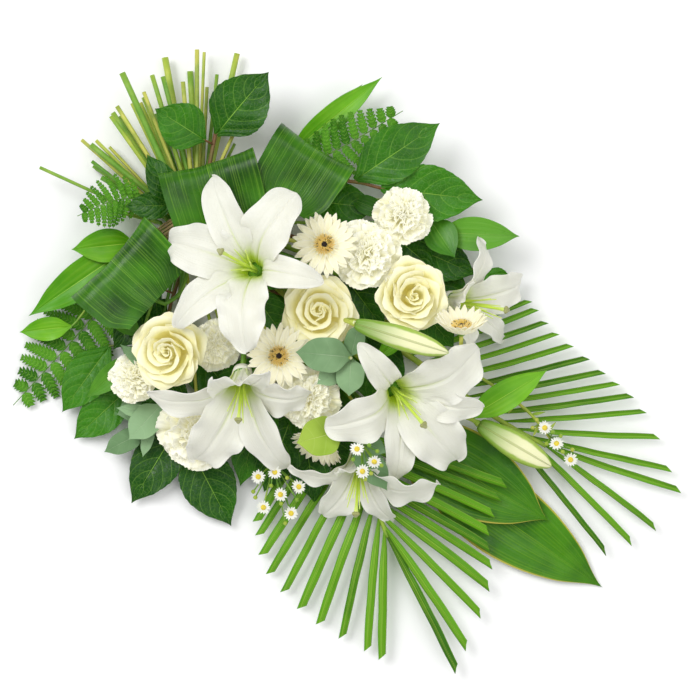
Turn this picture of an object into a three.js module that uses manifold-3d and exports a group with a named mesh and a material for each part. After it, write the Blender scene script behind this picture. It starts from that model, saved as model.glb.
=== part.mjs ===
// A tied funeral sheaf, lying on a table: white lilies, cream roses, carnations and gerberas over palm,
// broad leaves and fern, every stem run through one tie. Millimetres, +Z up from the table, +X to the
// right and +Y towards the cut ends, as the sheaf is seen from above.
import * as THREE from 'three';
import { mergeVertices } from 'three/addons/utils/BufferGeometryUtils.js';
import Module from 'manifold-3d';

const wasm = await Module();
wasm.setup();

// Driving dimensions.
const LILY_TEPAL = 116;          // length of a lily's tepal along its curve
const THROAT = 5.4;              // inner radius of the ring that joins a lily's tepals
const SEAT = 0.3;                // clear gap where a piece sits on its stem or on the binding
const RADII = { aster: 1.6, loop: 2.2, palm: 3, fern: 1.5, leafy: 1.9 };  // of those stems
const TIE = { x: -157, y: 151 };
const SHEAF_HEADING = -58;       // way that the flowers lie from the tie, in degrees from +X
const COLUMN_PITCH = 7.5;        // stems side by side in the tie
const ROW_HEIGHTS = [6.5, 14, 21.5, 29, 36.5, 44];
const STRAIGHT = 11;             // half of the length that the stems run side by side at the tie
const END_RISE = 9.4;            // spacing of the rows at their cut ends
const LOOSE = 20;                // largest scrap that may be dropped when parts are fused, in mm3
const LOOP_FLOOR = 56;           // height of a folded leaf's lower run
const LOOP_RUN = 74;             // reach of that run, to the outside of the fold,
const LOOP_BEND = 15.5;          // and the radius on which it turns back
const FINE = 48;                 // steps in which a midrib's bend is added up

const TIE_BAND = [14, 50.6];      // the tie's width along the stems, and its height
const TIE_SKIN = 1.5;
const LAYER = { thick: 0.6, wide: 8 };  // a turn of the binding that each row of stems lies on
const TIE_OUTLINE = [            // half across the stems, then height, round the band
  [-28, 0], [28, 0], [36, 4], [38, 14], [36.5, 31], [29, 42], [17, 50.6], [-20, 50.6], [-32, 42],
  [-37, 31], [-38, 14], [-36, 4],
];

// Shapes along a petal or a leaf, from base to tip: widths as shares, slopes in degrees.
const TEPAL_OUTLINE = [0.18, 0.4, 0.82, 1, 0.78, 0];
const TEPAL_PITCH = [80, 70, 46, 20, 0, -22, -40];
const OVAL = [0.12, 0.85, 1, 0.66, 0];
const BROAD = [0.12, 0.82, 1, 0.9, 0.56, 0];
const STRAP = [0.4, 1, 0.7];
const FERN_TOOTH = [[0, 0], [0, 0.5], [0.24, 1], [0.5, 0.62], [0.56, 0.4], [0.74, 0]];
const LOOP_OUTLINE = [0.1, 0.8, 0.98, 1, 1, 1, 0.98, 0.94, 0.7];
const ROSE_RINGS = [
  { petals: 3, cuts: [0.76, 1, 1], length: 50, base: 3, pitch: [6, 56, 84, 92, 86], rows: 2, tuck: 3 },
  { petals: 4, cuts: [0.74, 1, 1], length: 56, base: 2, pitch: [2, 34, 74, 84, 40], rows: 3, tuck: 3 },
  { petals: 5, cuts: [0.7, 1, 1], length: 56, base: 1, pitch: [0, 14, 60, 64, -12], rows: 3, tuck: 3 },
];
const CARNATION_RINGS = [
  { petals: 6, cuts: [0.7, 1, 0.9], reach: 1.1, base: 0.8, pitch: [0, 30, 22, 4], rows: 2, ruffle: 2.4 },
  { petals: 6, cuts: [0.72, 1, 0.9], reach: 1.12, base: 1.6, pitch: [0, 50, 44, 36], ruffle: 2.4, spin: 20 },
  { petals: 5, cuts: [0.74, 1, 0.9], reach: 1.06, base: 2.4, pitch: [0, 66, 66, 60], ruffle: 2, spin: 50 },
  { petals: 3, cuts: [0.78, 1, 0.92], reach: 0.98, base: 3.2, pitch: [0, 80, 84, 78], ruffle: 1.6, spin: 10 },
];
const GERBERA_CUTS = [0.45, 0.94, 1, 0.94];

const rad = THREE.MathUtils.degToRad;
const unit = (heading) => new THREE.Vector3(Math.cos(rad(heading)), Math.sin(rad(heading)), 0);
const spot = ([x, y, z]) => new THREE.Vector3(x, y, z);

const paint = (color, roughness) => new THREE.MeshStandardMaterial({ color, roughness, metalness: 0 });
const LOOKS = {
  lily: paint(0xf4f3ec, 0.5),
  cream: paint(0xf5f0cf, 0.6),
  white: paint(0xf7f5e8, 0.65),
  gerbera: paint(0xf3ecd2, 0.6),
  disc: paint(0xd9a95c, 0.8),
  bud: paint(0xe6eaa6, 0.45),
  stem: paint(0x7da34a, 0.5),
  leaf: paint(0x2f6b23, 0.4),
  bright: paint(0x4f9a2e, 0.4),
  palm: paint(0x6ba32c, 0.4),
  fern: paint(0x3c7d2b, 0.5),
  grey: paint(0x7fa088, 0.6),
  tie: paint(0xb9a26a, 0.9),
};

const sheaf = new THREE.Group();

// Solids.

/** A smooth curve through equally spaced values, read at t from 0 to 1. */
function profile(values, t) {
  if (values.length === 1) return values[0];
  const x = t * (values.length - 1);
  const i = Math.min(Math.floor(x), values.length - 2);
  const f = x - i;
  const at = (k) => values[Math.min(Math.max(k, 0), values.length - 1)];
  const [a, b, c, d] = [at(i - 1), at(i), at(i + 1), at(i + 2)];
  return b + 0.5 * f * (c - a + f * (2 * a - 5 * b + 4 * c - d + f * (3 * (b - c) + d - a)));
}

/** A closed mesh as a solid, its shared vertices merged and its collapsed triangles dropped. */
function solid(geometry) {
  const bare = new THREE.BufferGeometry();
  bare.setAttribute('position', geometry.getAttribute('position'));
  if (geometry.index) bare.setIndex(geometry.index);
  const merged = mergeVertices(bare, 1e-3);
  const index = merged.index.array;
  const faces = [];
  for (let i = 0; i < index.length; i += 3) {
    const [a, b, c] = [index[i], index[i + 1], index[i + 2]];
    if (a !== b && b !== c && c !== a) faces.push(a, b, c);
  }
  const build = (triVerts) => new wasm.Manifold(new wasm.Mesh({
    numProp: 3, vertProperties: merged.attributes.position.array, triVerts: new Uint32Array(triVerts),
  }));
  const made = build(faces);
  return made.volume() < 0 ? build(faces.reverse()) : made;
}

/** Adds a node to the sheaf: its overlapping meshes fused into one body. */
function node(name, geometries, material) {
  const joined = geometries.map(solid).reduce((whole, part) => whole.add(part));
  const bodies = joined.decompose().sort((one, other) => other.volume() - one.volume());
  if (bodies.length > 1 && bodies[1].volume() > LOOSE) throw new Error(`a part of ${name} is loose`);
  const mesh = bodies[0].getMesh();
  const geometry = new THREE.BufferGeometry();
  geometry.setAttribute('position', new THREE.BufferAttribute(mesh.vertProperties, 3));
  geometry.setIndex(new THREE.BufferAttribute(mesh.triVerts, 1));
  geometry.computeVertexNormals();
  const piece = new THREE.Mesh(geometry, material);
  piece.name = name;
  sheaf.add(piece);
}

/** A copy of a mesh's geometry, turned by roll about X, then to a heading about Z, then moved. */
function placed(geometry, { at = [0, 0, 0], heading = 0, roll = 0, dip = 0 }) {
  const turn = new THREE.Matrix4()
    .makeTranslation(...at)
    .multiply(new THREE.Matrix4().makeRotationZ(rad(heading)))
    .multiply(new THREE.Matrix4().makeRotationY(rad(dip)))
    .multiply(new THREE.Matrix4().makeRotationX(rad(roll)));
  return geometry.clone().applyMatrix4(turn);
}

/** Moves a head's parts from its own frame, axis up, to its place: spun, then leant towards a heading. */
function posed(parts, { at, lean = 0, toward = 0, spin = 0 }) {
  const turn = new THREE.Matrix4()
    .makeTranslation(...at)
    .multiply(new THREE.Matrix4().makeRotationZ(rad(toward)))
    .multiply(new THREE.Matrix4().makeRotationY(rad(lean)))
    .multiply(new THREE.Matrix4().makeRotationZ(rad(spin - toward)));
  return parts.map((part) => part.clone().applyMatrix4(turn));
}

/** The way that a posed head's axis points. */
function axisOf({ lean = 0, toward = 0 }) {
  return unit(toward).multiplyScalar(Math.sin(rad(lean))).setZ(Math.cos(rad(lean)));
}

/** A midrib in its own upright plane: distance along, height and slope at each of FINE steps. */
function midrib(length, pitch) {
  const step = length / FINE;
  const points = [{ x: 0, z: 0, slope: rad(profile(pitch, 0)) }];
  for (let i = 0; i < FINE; i++) {
    const { x, z } = points[i];
    const middle = rad(profile(pitch, (i + 0.5) / FINE));
    const slope = rad(profile(pitch, (i + 1) / FINE));
    points.push({ x: x + step * Math.cos(middle), z: z + step * Math.sin(middle), slope });
  }
  return points;
}

/**
 * A petal or a leaf as a thin closed solid, from its base at the origin along +X. `outline` is its width
 * along its length as a share of `width`, `pitch` its slope in degrees, and `cup` how far its edges lift.
 */
function blade({
  length, width, outline, pitch = [0], cup = 0, thick = 1.3, rows = 4, cells = 2, blunt = false,
}) {
  const rib = midrib(length, pitch);
  const corner = (i, j, face) => {
    const t = i / rows;
    const s = -1 + (2 * j) / cells;
    const { x, z, slope } = rib[Math.round(t * FINE)];
    const share = profile(outline, t);
    const half = (width / 2) * share;
    const closed = share <= 0 || (i === rows && !blunt);
    const skin = closed ? 0 : (face * thick * Math.sqrt(Math.max(0, 1 - s * s))) / 2;
    const lift = cup * half * s * s + skin;
    return new THREE.Vector3(x - lift * Math.sin(slope), s * half, z + lift * Math.cos(slope));
  };
  const points = [];
  const quad = (a, b, c, d, flip) => points.push(...(flip ? [a, b, d, b, c, d] : [a, b, c, a, c, d]));
  for (let i = 0; i < rows; i++) {
    for (let j = 0; j < cells; j++) {
      const flip = j >= cells / 2;
      const [a, b, c, d] = [[i, j], [i + 1, j], [i + 1, j + 1], [i, j + 1]];
      quad(corner(...a, 1), corner(...b, 1), corner(...c, 1), corner(...d, 1), flip);
      const under = [a, b, c, d].map((at) => corner(...at, -1));
      const cut = flip ? [0, 3, 1, 1, 3, 2] : [0, 2, 1, 0, 3, 2];
      points.push(...cut.map((k) => under[k]));
    }
  }
  for (const [i, way] of [[0, false], [rows, true]]) {
    for (let j = 0; j < cells; j++) {
      const ring = [corner(i, j, 1), corner(i, j + 1, 1), corner(i, j + 1, -1), corner(i, j, -1)];
      if (way) ring.reverse();
      quad(...ring, false);
    }
  }
  return new THREE.BufferGeometry().setFromPoints(points);
}

/**
 * A ring of petals about +Z as one closed skin: a profile of the given length and pitch, swung round the
 * axis from radius `start`. `cuts` is how much of the profile the rim reaches at each step across a petal.
 * `ruffle` lifts every other step, `stagger` every other petal, and `tuck` one edge of each petal.
 */
function collar({
  petals, cuts, start = 0, base = 0, length, pitch, rows = 1, thick = 1.5, ruffle = 0, stagger = 0,
  tuck = 0, spin = 0,
}) {
  const rib = midrib(length, pitch);
  const around = petals * cuts.length;
  const corner = (i, j, face) => {
    const share = i / rows;
    const step = j % cuts.length;
    const { x, z, slope } = rib[Math.round(share * (1 - share + share * cuts[step]) * FINE)];
    const wave = ruffle * (j % 2 ? 1 : -1) + stagger * (Math.floor(j / cuts.length) % 2 ? 1 : -1)
      + tuck * (step / cuts.length - 0.5);
    const lift = (i === rows ? 0 : (face * thick) / 2) + wave * share;
    const radius = start + x - lift * Math.sin(slope);
    const turn = (2 * Math.PI * j) / around + rad(spin);
    return new THREE.Vector3(
      radius * Math.cos(turn), radius * Math.sin(turn), base + z + lift * Math.cos(slope),
    );
  };
  const points = [];
  for (let j = 0; j < around; j++) {
    const next = (j + 1) % around;
    for (let i = 0; i < rows; i++) {
      const [a, b, c, d] = [[i, j], [i + 1, j], [i + 1, next], [i, next]];
      const over = [a, b, c, d].map((at) => corner(...at, 1));
      const under = [a, b, c, d].map((at) => corner(...at, -1));
      points.push(...[0, 1, 2, 0, 2, 3].map((k) => over[k]), ...[0, 2, 1, 0, 3, 2].map((k) => under[k]));
    }
    const [a, b, c, d] = [corner(0, j, 1), corner(0, next, 1), corner(0, next, -1), corner(0, j, -1)];
    points.push(a, b, c, a, c, d);
  }
  return new THREE.BufferGeometry().setFromPoints(points);
}

/** Stations on a smooth curve through points, one on each point and `fine` to each length after `plain`. */
function stations(points, fine = 1, plain = 0) {
  const curve = new THREE.CatmullRomCurve3(points, false, 'centripetal');
  const last = points.length - 1;
  return points.flatMap((point, k) => {
    if (k === last) return [point];
    const steps = k < plain ? 1 : fine;
    return Array.from({ length: steps }, (_, i) => curve.getPoint((k + i / steps) / last));
  });
}

/** A round rod along stations, closed at both ends. */
function rod(line, radius, sides = 4) {
  const ways = line.slice(1).map((at, k) => at.clone().sub(line[k]).normalize());
  const normal = new THREE.Vector3(...(Math.abs(ways[0].z) > 0.9 ? [1, 0, 0] : [0, 0, 1])).cross(ways[0]);
  const rings = line.map((at, k) => {
    const way = ways[Math.max(k - 1, 0)].clone().add(ways[Math.min(k, ways.length - 1)]).normalize();
    normal.addScaledVector(way, -normal.dot(way)).normalize();
    const side = way.clone().cross(normal);
    return Array.from({ length: sides }, (_, j) => {
      const turn = (2 * Math.PI * j) / sides;
      const out = normal.clone().multiplyScalar(Math.cos(turn)).addScaledVector(side, Math.sin(turn));
      return at.clone().addScaledVector(out, radius);
    });
  });
  const points = [];
  for (let k = 1; k < rings.length; k++) {
    for (let j = 0; j < sides; j++) {
      const [a, b] = [rings[k - 1][j], rings[k - 1][(j + 1) % sides]];
      const [c, d] = [rings[k][(j + 1) % sides], rings[k][j]];
      points.push(a, b, c, a, c, d);
    }
  }
  const [foot, top] = [rings[0], rings[rings.length - 1]];
  for (let j = 1; j < sides - 1; j++) points.push(foot[0], foot[j + 1], foot[j], top[0], top[j], top[j + 1]);
  return new THREE.BufferGeometry().setFromPoints(points);
}

/** A solid of revolution about Z, from radius and height pairs that start and end on the axis. */
function turned(pairs, sides) {
  return new THREE.LatheGeometry(pairs.map(([r, z]) => new THREE.Vector2(r, z)), sides)
    .applyMatrix4(new THREE.Matrix4().makeRotationX(Math.PI / 2));
}

// Stems.

/** Where a stem passes the tie, from its column and row among its neighbours there. */
function inTie([column, row]) {
  const side = unit(SHEAF_HEADING + 90).multiplyScalar(column * COLUMN_PITCH);
  return new THREE.Vector3(TIE.x + side.x, TIE.y + side.y, ROW_HEIGHTS[row]);
}

/**
 * A stem's centreline: its cut end, side by side with its neighbours in the tie, then through `via`. A stem
 * that is put in `back` to front has its cut end among the flowers.
 */
function route({ cell, cut: [length, heading], via, back = false }) {
  const waist = inTie(cell);
  const ahead = unit(SHEAF_HEADING).multiplyScalar(back ? -STRAIGHT : STRAIGHT);
  const end = waist.clone().addScaledVector(unit(heading), length);
  if (!back) end.setZ(END_RISE * cell[1] + 3);
  const points = [end, waist.clone().sub(ahead), waist.clone().add(ahead), ...via.map(spot)];
  return stations(points, 2, 2);
}

/** The centreline of a flower's stem: through the tie, then up the flower's axis to its base. */
function flowerRoute({ pose, cell, cut, via = [], approach = 24 }) {
  const below = spot(pose.at).addScaledVector(axisOf(pose), -approach);
  return [...route({ cell, cut, via: [...via, below.toArray()] }), spot(pose.at)];
}

/** The place on a rod's centreline that lies nearest a point. */
function nearestOn(line, at) {
  const places = line.slice(1).flatMap((end, k) => (
    [0, 0.2, 0.4, 0.6, 0.8, 1].map((share) => line[k].clone().lerp(end, share))
  ));
  return places.reduce((best, place) => (place.distanceTo(at) < best.distanceTo(at) ? place : best));
}

// Flowers. Each builder works in the flower's own frame: its base at the origin, its axis along +Z.

/** A lily's six tepals, joined by a ring at the throat. Each has its own turn, size and extra pitch. */
function lilyTepals(tepals) {
  const ring = turned([[THROAT, 0], [THROAT + 4, 0], [THROAT + 5, 6], [THROAT + 1, 6], [THROAT, 0]], 6);
  return [ring, ...tepals.map(({ turn, size = 1, inner = false, open = 0 }) => {
    const last = TEPAL_PITCH.length - 1;
    const petal = blade({
      length: LILY_TEPAL * size, width: (inner ? 50 : 36) * size, outline: TEPAL_OUTLINE,
      pitch: TEPAL_PITCH.map((slope, i) => slope + (open * i) / last), cup: 0.2, thick: 1.6, rows: 4,
    });
    const start = unit(turn).multiplyScalar(THROAT + (inner ? 1.2 : 3)).setZ(inner ? 2.5 : 1);
    return placed(petal, { at: start.toArray(), heading: turn });
  })];
}

/** A lily's receptacle, which fills its tepals' ring, and the pistil and six filaments that stand on it. */
function lilyHeart(bend) {
  const seat = THROAT * Math.cos(Math.PI / 6) - SEAT;
  const receptacle = turned([[0, -4], [seat, -1], [seat, 3], [0, 4]], 8);
  const tip = [bend * 14, 0, 78];
  const pistil = rod([[0, 0, -2], [0, 0, 26], [bend * 5, 0, 55], tip].map(spot), 1.4);
  const stigma = turned([[0, -2], [3.4, 1], [0, 3.4]], 3).translate(...tip);
  const filaments = Array.from({ length: 6 }, (_, k) => {
    const line = [[1.4, -2], [11, 60]];
    return rod(line.map(([r, z]) => unit(60 * k + 20).multiplyScalar(r).setZ(z)), 0.8, 3);
  });
  return [receptacle, pistil, stigma, ...filaments];
}

/** A closed lily bud lying along +X. */
function lilyBud(length, radius) {
  const shape = [[0, 0], [0.5, 0.03], [0.92, 0.34], [1, 0.58], [0.7, 0.84], [0.3, 0.97], [0, 1]];
  return placed(turned(shape.map(([r, z]) => [r * radius, z * length]), 8), { dip: 90 });
}

/** A rose: a closed heart and rings of petals that open outwards. */
function rosePetals(radius) {
  const size = radius / 34;
  const heart = turned([[0, 3], [5, 4], [9, 18], [7, 33], [0, 37]].map(
    ([r, z]) => [r * size, z * size]), 7);
  return [heart, ...ROSE_RINGS.map(({ length, ...ring }) => collar({ length: length * size, ...ring }))];
}

/** A carnation: nested rings of ruffled, notched petals that meet at its foot. */
function carnationPetals(radius) {
  return CARNATION_RINGS.map(({ reach, ...ring }) => collar({ length: reach * radius, ...ring }));
}

/** A gerbera's strap rays round a thin hub, every other ray raised. `shut` degrees closes them. */
function gerberaRays(radius, shut = 0) {
  return [collar({
    petals: 14, cuts: GERBERA_CUTS, length: radius, pitch: [0, 0, 4 + shut * 0.7, 2 + shut, shut - 8],
    rows: 2, stagger: 1.8, base: 1.5, thick: 1.8,
  })];
}

/** A gerbera's flat-topped disc, which sits on the hub. */
const gerberaDisc = () => [turned([[0, 3 + SEAT], [4.8, 3 + SEAT], [7.2, 6], [0, 7.4]], 8)];

/** A small aster head, its axis up: rays round a domed eye. */
function asterHead(at, lean = 0, toward = 0) {
  return posed([collar({
    petals: 6, cuts: [0.5, 1], length: 10, pitch: [0, 0, 10], thick: 2.6,
  })], { at, lean, toward });
}

// Leaves.

/** A leaf between two points, arched by `bow` degrees at each end. */
function leaf({ from, to, width, bow = 10, roll = 0, outline = OVAL, ...rest }) {
  const reach = spot(to).sub(spot(from));
  const slope = THREE.MathUtils.radToDeg(Math.atan2(reach.z, Math.hypot(reach.x, reach.y)));
  const heading = THREE.MathUtils.radToDeg(Math.atan2(reach.y, reach.x));
  const length = (reach.length() * rad(bow)) / Math.sin(rad(bow));
  const pitch = [slope + bow, slope, slope - bow];
  return placed(blade({ length, width, outline, pitch, rows: 3, ...rest }), { at: from, heading, roll });
}

/** A leafy stem and its leaves. A leaf that starts away from the stem has a stalk that reaches it. */
function leafyStem({ cell, cut, via, back, radius = RADII.leafy, leaves, look = {} }) {
  const line = route({ cell, cut, via, back });
  return [rod(line, radius), ...leaves.flatMap((shape) => {
    const foot = spot(shape.from);
    const near = nearestOn(line, foot);
    const blades = [leaf({ ...look, ...shape })];
    if (near.distanceTo(foot) > 0.6) blades.push(rod([near, foot], 1.2));
    return blades;
  })];
}

/** A palm frond: strap leaflets, their tips cut blunt, fanned from both sides of its rib. */
function palmFrond({ cell, cut, via, sides: edges }) {
  const line = route({ cell, cut, via });
  const rib = new THREE.CatmullRomCurve3(line.slice(2), false, 'centripetal');
  return [rod(line, RADII.palm), ...edges.flatMap(({ count, first, last, tips, width = 10, roll }) =>
    Array.from({ length: count }, (_, k) => {
      const share = k / (count - 1);
      const from = rib.getPointAt(first + (last - first) * share).toArray();
      const to = [0, 1, 2].map((axis) => profile(tips.map((tip) => tip[axis]), share));
      return leaf({ from, to, width, roll, bow: 4, outline: STRAP, blunt: true, rows: 1 });
    }))];
}

/** A fern frond: toothed leaflets on both sides of a rib, cut from one outline and bent along the rib. */
function fernFrond({ cell, cut, via, back, count, longest }) {
  const line = route({ cell, cut, via: via.slice(0, 2), back });
  const rib = new THREE.CatmullRomCurve3(via.slice(1).map(spot), false, 'centripetal');
  const span = rib.getLength();
  const pitch = span / (count + 0.4);
  const edge = (side) => Array.from({ length: count }, (_, k) => {
    const reach = longest * profile([0.78, 1, 0.94, 0.7, 0.34], k / (count - 1));
    const foot = pitch * (k + 0.3);
    return FERN_TOOTH.map(([along, across]) => (
      [foot + pitch * along + reach * 0.3 * across, side * (1.2 + reach * across)]
    ));
  }).flat();
  const outline = [[0, -1.2], ...edge(-1), [span, 0], ...edge(1).reverse(), [0, 1.2]];
  const shape = new THREE.Shape(outline.map(([x, y]) => new THREE.Vector2(x, y)));
  const frond = new THREE.ExtrudeGeometry(shape, { depth: 1.2, bevelEnabled: false });
  const place = frond.getAttribute('position');
  for (let i = 0; i < place.count; i++) {
    const share = Math.min(place.getX(i) / span, 1);
    const way = rib.getTangentAt(share).setZ(0).normalize();
    const at = rib.getPointAt(share).addScaledVector(new THREE.Vector3(-way.y, way.x, 0), place.getY(i));
    place.setXYZ(i, at.x, at.y, at.z + place.getZ(i) - 0.6);
  }
  return [rod(line, RADII.fern), frond];
}

// The flowers. `at` is a head's base, `lean` its tilt from upright and `toward` the way it leans. A cell is
// the stem's column and row in the tie; `cut` is how far its cut end lies from the tie, and its heading.

const LILIES = {
  lily_1: {
    pose: { at: [-89, 94, 78.6], lean: 19, toward: 152 }, cell: [-0.2, 5], cut: [158, 115], radius: 4,
    bend: 1, tepals: [
      { turn: 54, inner: true, size: 0.94 }, { turn: -13, size: 0.86 },
      { turn: -88, inner: true, size: 0.94 }, { turn: -140 },
      { turn: 162, inner: true, size: 0.94 }, { turn: 112, size: 1.04 },
    ],
  },
  lily_2: {
    pose: { at: [44, -20, 56], lean: 28, toward: -50 }, cell: [1, 1], cut: [160, 102], radius: 4.2,
    bend: 1, tepals: [
      { turn: 34, inner: true }, { turn: -6, size: 0.9, open: 20 }, { turn: -48, inner: true },
      { turn: -92, size: 0.92 }, { turn: 198, inner: true, size: 0.9 }, { turn: 128, size: 0.8 },
    ],
  },
  lily_3: {
    pose: { at: [-104, -4, 66], lean: 44, toward: -93 }, cell: [-1.7, 3], cut: [119, 139], radius: 3.6,
    bend: -0.6, tepals: [
      { turn: 178, size: 0.98 }, { turn: 116, inner: true, size: 0.72, open: 60 },
      { turn: 60, size: 0.7, open: 50 }, { turn: -2, inner: true, size: 0.74 },
      { turn: -62, size: 1.04, open: 16 }, { turn: -122, inner: true, open: 16 },
    ],
  },
  lily_4: {
    pose: { at: [13, -86, 38], lean: 56, toward: -94 }, cell: [-1, 1], cut: [131, 124], radius: 3.2,
    bend: -0.6, tepals: [
      { turn: 172, size: 0.72 }, { turn: 116, inner: true, size: 0.5, open: 60 },
      { turn: 60, size: 0.5, open: 60 }, { turn: 0, inner: true, size: 0.86 },
      { turn: -60, size: 0.74, open: 24 }, { turn: -126, inner: true, size: 0.68, open: 30 },
    ],
  },
  lily_5: {
    pose: { at: [100, 66, 34], lean: 54, toward: -10 }, cell: [3, 1], cut: [155, 80], radius: 3.6,
    bend: -0.6, tepals: [
      { turn: 82, size: 0.7 }, { turn: 20, inner: true, size: 0.74, open: 24 },
      { turn: -40, size: 0.68, open: 24 }, { turn: -98, inner: true, size: 0.5, open: 30 },
      { turn: -160, size: 0.5, open: 60 }, { turn: 142, inner: true, size: 0.5, open: 60 },
    ],
  },
};

// Each bud's foot and tip, and the place on its lily's stem that its own stalk leaves.
const BUDS = {
  lily_bud_1: { lily: 'lily_2', foot: [8, 42, 122], tip: [100, 13, 130], radius: 12,
    fork: [[-8, 30, 40], [14, 42, 76]] },
  lily_bud_2: { lily: 'lily_2', foot: [132, -58, 46], tip: [205, -101, 44], radius: 14,
    fork: [[6, 8, 30], [74, -36, 34]] },
};

const ROSES = {
  rose_1: {
    pose: { at: [-173, 16, 56], lean: 12, toward: 200 },
    size: 34, cell: [-2.7, 3], cut: [88, 146],
  },
  rose_2: {
    pose: { at: [-28, 52, 56], lean: 4, toward: 60 },
    size: 34, cell: [0.9, 3], cut: [145, 108],
  },
  rose_3: {
    pose: { at: [62, 68, 56], lean: 10, toward: 20 },
    size: 33, cell: [1.6, 3], cut: [139, 106],
  },
};

const CARNATIONS = {
  carnation_1: {
    pose: { at: [20, 110, 61], lean: 8, toward: 120 },
    size: 33, cell: [2.5, 2], cut: [120, 90],
  },
  carnation_2: {
    pose: { at: [54, 148, 56], lean: 14, toward: 60 },
    size: 27, cell: [3, 2], cut: [131, 87],
  },
  carnation_3: {
    pose: { at: [-132, 22, 40], lean: 6, toward: -90 },
    size: 24, cell: [-2.2, 2], cut: [118, 134],
  },
  carnation_4: {
    pose: { at: [-37, -31, 54], lean: 4, toward: -60 },
    size: 32, cell: [-0.5, 3], cut: [128, 116],
  },
  carnation_5: {
    pose: { at: [-150, -64, 24], lean: 16, toward: -100 },
    size: 38, cell: [-2.65, 2], cut: [128, 137], approach: 9,
  },
  carnation_6: {
    pose: { at: [-210, -12, 44], lean: 22, toward: 200 },
    size: 24, cell: [-3.1, 2], cut: [105, 140],
  },
};

const GERBERAS = {
  gerbera_1: {
    pose: { at: [-22, 120, 92], lean: 6, toward: 120 },
    size: 34, cell: [1.9, 4], cut: [159, 92],
  },
  gerbera_2: {
    pose: { at: [-67, 11, 88], lean: 8, toward: -120 },
    size: 34, cell: [-0.6, 4], cut: [132, 122],
  },
  gerbera_3: {
    pose: { at: [113, 35, 101], lean: 62, toward: 90 },
    size: 32, shut: 46, cell: [1.3, 4], cut: [130, 97], via: [[70, 14, 58]],
  },
  gerbera_4: {
    pose: { at: [-26, -73, 48], lean: 62, toward: -118 },
    size: 32, shut: 40, cell: [-1.1, 4], cut: [127, 125], via: [[-50, -30, 34]],
  },
};

// Flower stems that grow side by side and touch are one piece, as they pass the tie as one bunch.
const STEM_BUNCHES = {
  rose_stem_1: ['rose_1'],
  rose_stems_2: ['rose_2', 'rose_3'],
  carnation_stems_1: ['carnation_1', 'carnation_2'],
  carnation_stems_2: ['carnation_3', 'carnation_5', 'carnation_6'],
  carnation_stem_3: ['carnation_4'],
  gerbera_stems_1: ['gerbera_1', 'gerbera_3'],
  gerbera_stems_2: ['gerbera_2', 'gerbera_4'],
};

const ASTERS = {
  aster_1: {
    cell: [-2, 1], cut: [105, 132], via: [[-100, -30, 20], [-74, -98, 34]],
    heads: [
      [-89, -111, 46], [-72, -106, 52], [-48, -121, 44], [-67, -129, 44], [-84, -142, 38], [-56, -148, 36],
    ],
  },
  aster_2: {
    cell: [0, 1], cut: [126, 114], via: [[-2, -24, 22], [14, -56, 60], [14, -76, 86]],
    heads: [[10, -82, 102], [27, -94, 100], [15, -104, 98]],
  },
  aster_3: {
    cell: [2, 1], cut: [158, 90], via: [[100, 10, 22], [180, -44, 30], [204, -72, 34]],
    heads: [[198, -62, 46], [210, -78, 44], [224, -94, 40]],
  },
};

/** A point behind a bud's foot, on its axis, from which its stalk runs straight into it. */
const budNeck = (foot, tip) => spot(foot).addScaledVector(spot(tip).sub(spot(foot)).normalize(), -10);

for (const [name, { pose, cell, cut, radius, bend, tepals }] of Object.entries(LILIES)) {
  node(`${name}_tepals`, posed(lilyTepals(tepals), pose), LOOKS.lily);
  const line = flowerRoute({ pose, cell, cut });
  const buds = Object.values(BUDS).filter((bud) => bud.lily === name);
  const forks = buds.map(({ foot, tip, fork: [from, by] }) => (
    rod(stations([nearestOn(line, spot(from)), spot(by), budNeck(foot, tip), spot(foot)], 2), 2.2)
  ));
  const heart = posed(lilyHeart(bend), { ...pose, spin: pose.toward });
  node(`${name}_stem`, [rod(line, radius), ...heart, ...forks], LOOKS.stem);
}

for (const [name, { foot, tip, radius }] of Object.entries(BUDS)) {
  const way = spot(tip).sub(spot(foot));
  const heading = THREE.MathUtils.radToDeg(Math.atan2(way.y, way.x));
  const dip = -THREE.MathUtils.radToDeg(Math.asin(way.z / way.length()));
  const at = spot(foot).addScaledVector(way.clone().normalize(), SEAT).toArray();
  node(name, [placed(lilyBud(way.length(), radius), { at, heading, dip })], LOOKS.bud);
}

const FLOWERS = { ...ROSES, ...CARNATIONS, ...GERBERAS };
const STEM_RADII = { rose: 3, carnation: 2.3, gerbera: 2.8 };
const stemRadius = (flower) => STEM_RADII[flower.split('_')[0]];

/** A head's pose, lifted off its stem by the seat's gap. */
const seated = (pose) => ({ ...pose, at: spot(pose.at).addScaledVector(axisOf(pose), SEAT).toArray() });

for (const [name, { pose, size }] of Object.entries(ROSES)) {
  node(name, posed(rosePetals(size), seated(pose)), LOOKS.cream);
}
for (const [name, { pose, size }] of Object.entries(CARNATIONS)) {
  node(name, posed(carnationPetals(size), seated(pose)), LOOKS.white);
}
for (const [name, { pose, size, shut }] of Object.entries(GERBERAS)) {
  node(`${name}_rays`, posed(gerberaRays(size, shut), seated(pose)), LOOKS.gerbera);
  node(`${name}_disc`, posed(gerberaDisc(), seated(pose)), LOOKS.disc);
}
for (const [name, flowers] of Object.entries(STEM_BUNCHES)) {
  node(name, flowers.map((flower) => rod(flowerRoute(FLOWERS[flower]), stemRadius(flower))), LOOKS.stem);
}
for (const [name, { cell, cut, via, heads }] of Object.entries(ASTERS)) {
  const fork = spot(via[via.length - 1]);
  node(name, [
    rod(route({ cell, cut, via }), RADII.aster),
    ...heads.flatMap((at) => [rod([fork, spot(at)], 1, 3), ...asterHead(at)]),
  ], LOOKS.white);
}

// The leaves.

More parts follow.
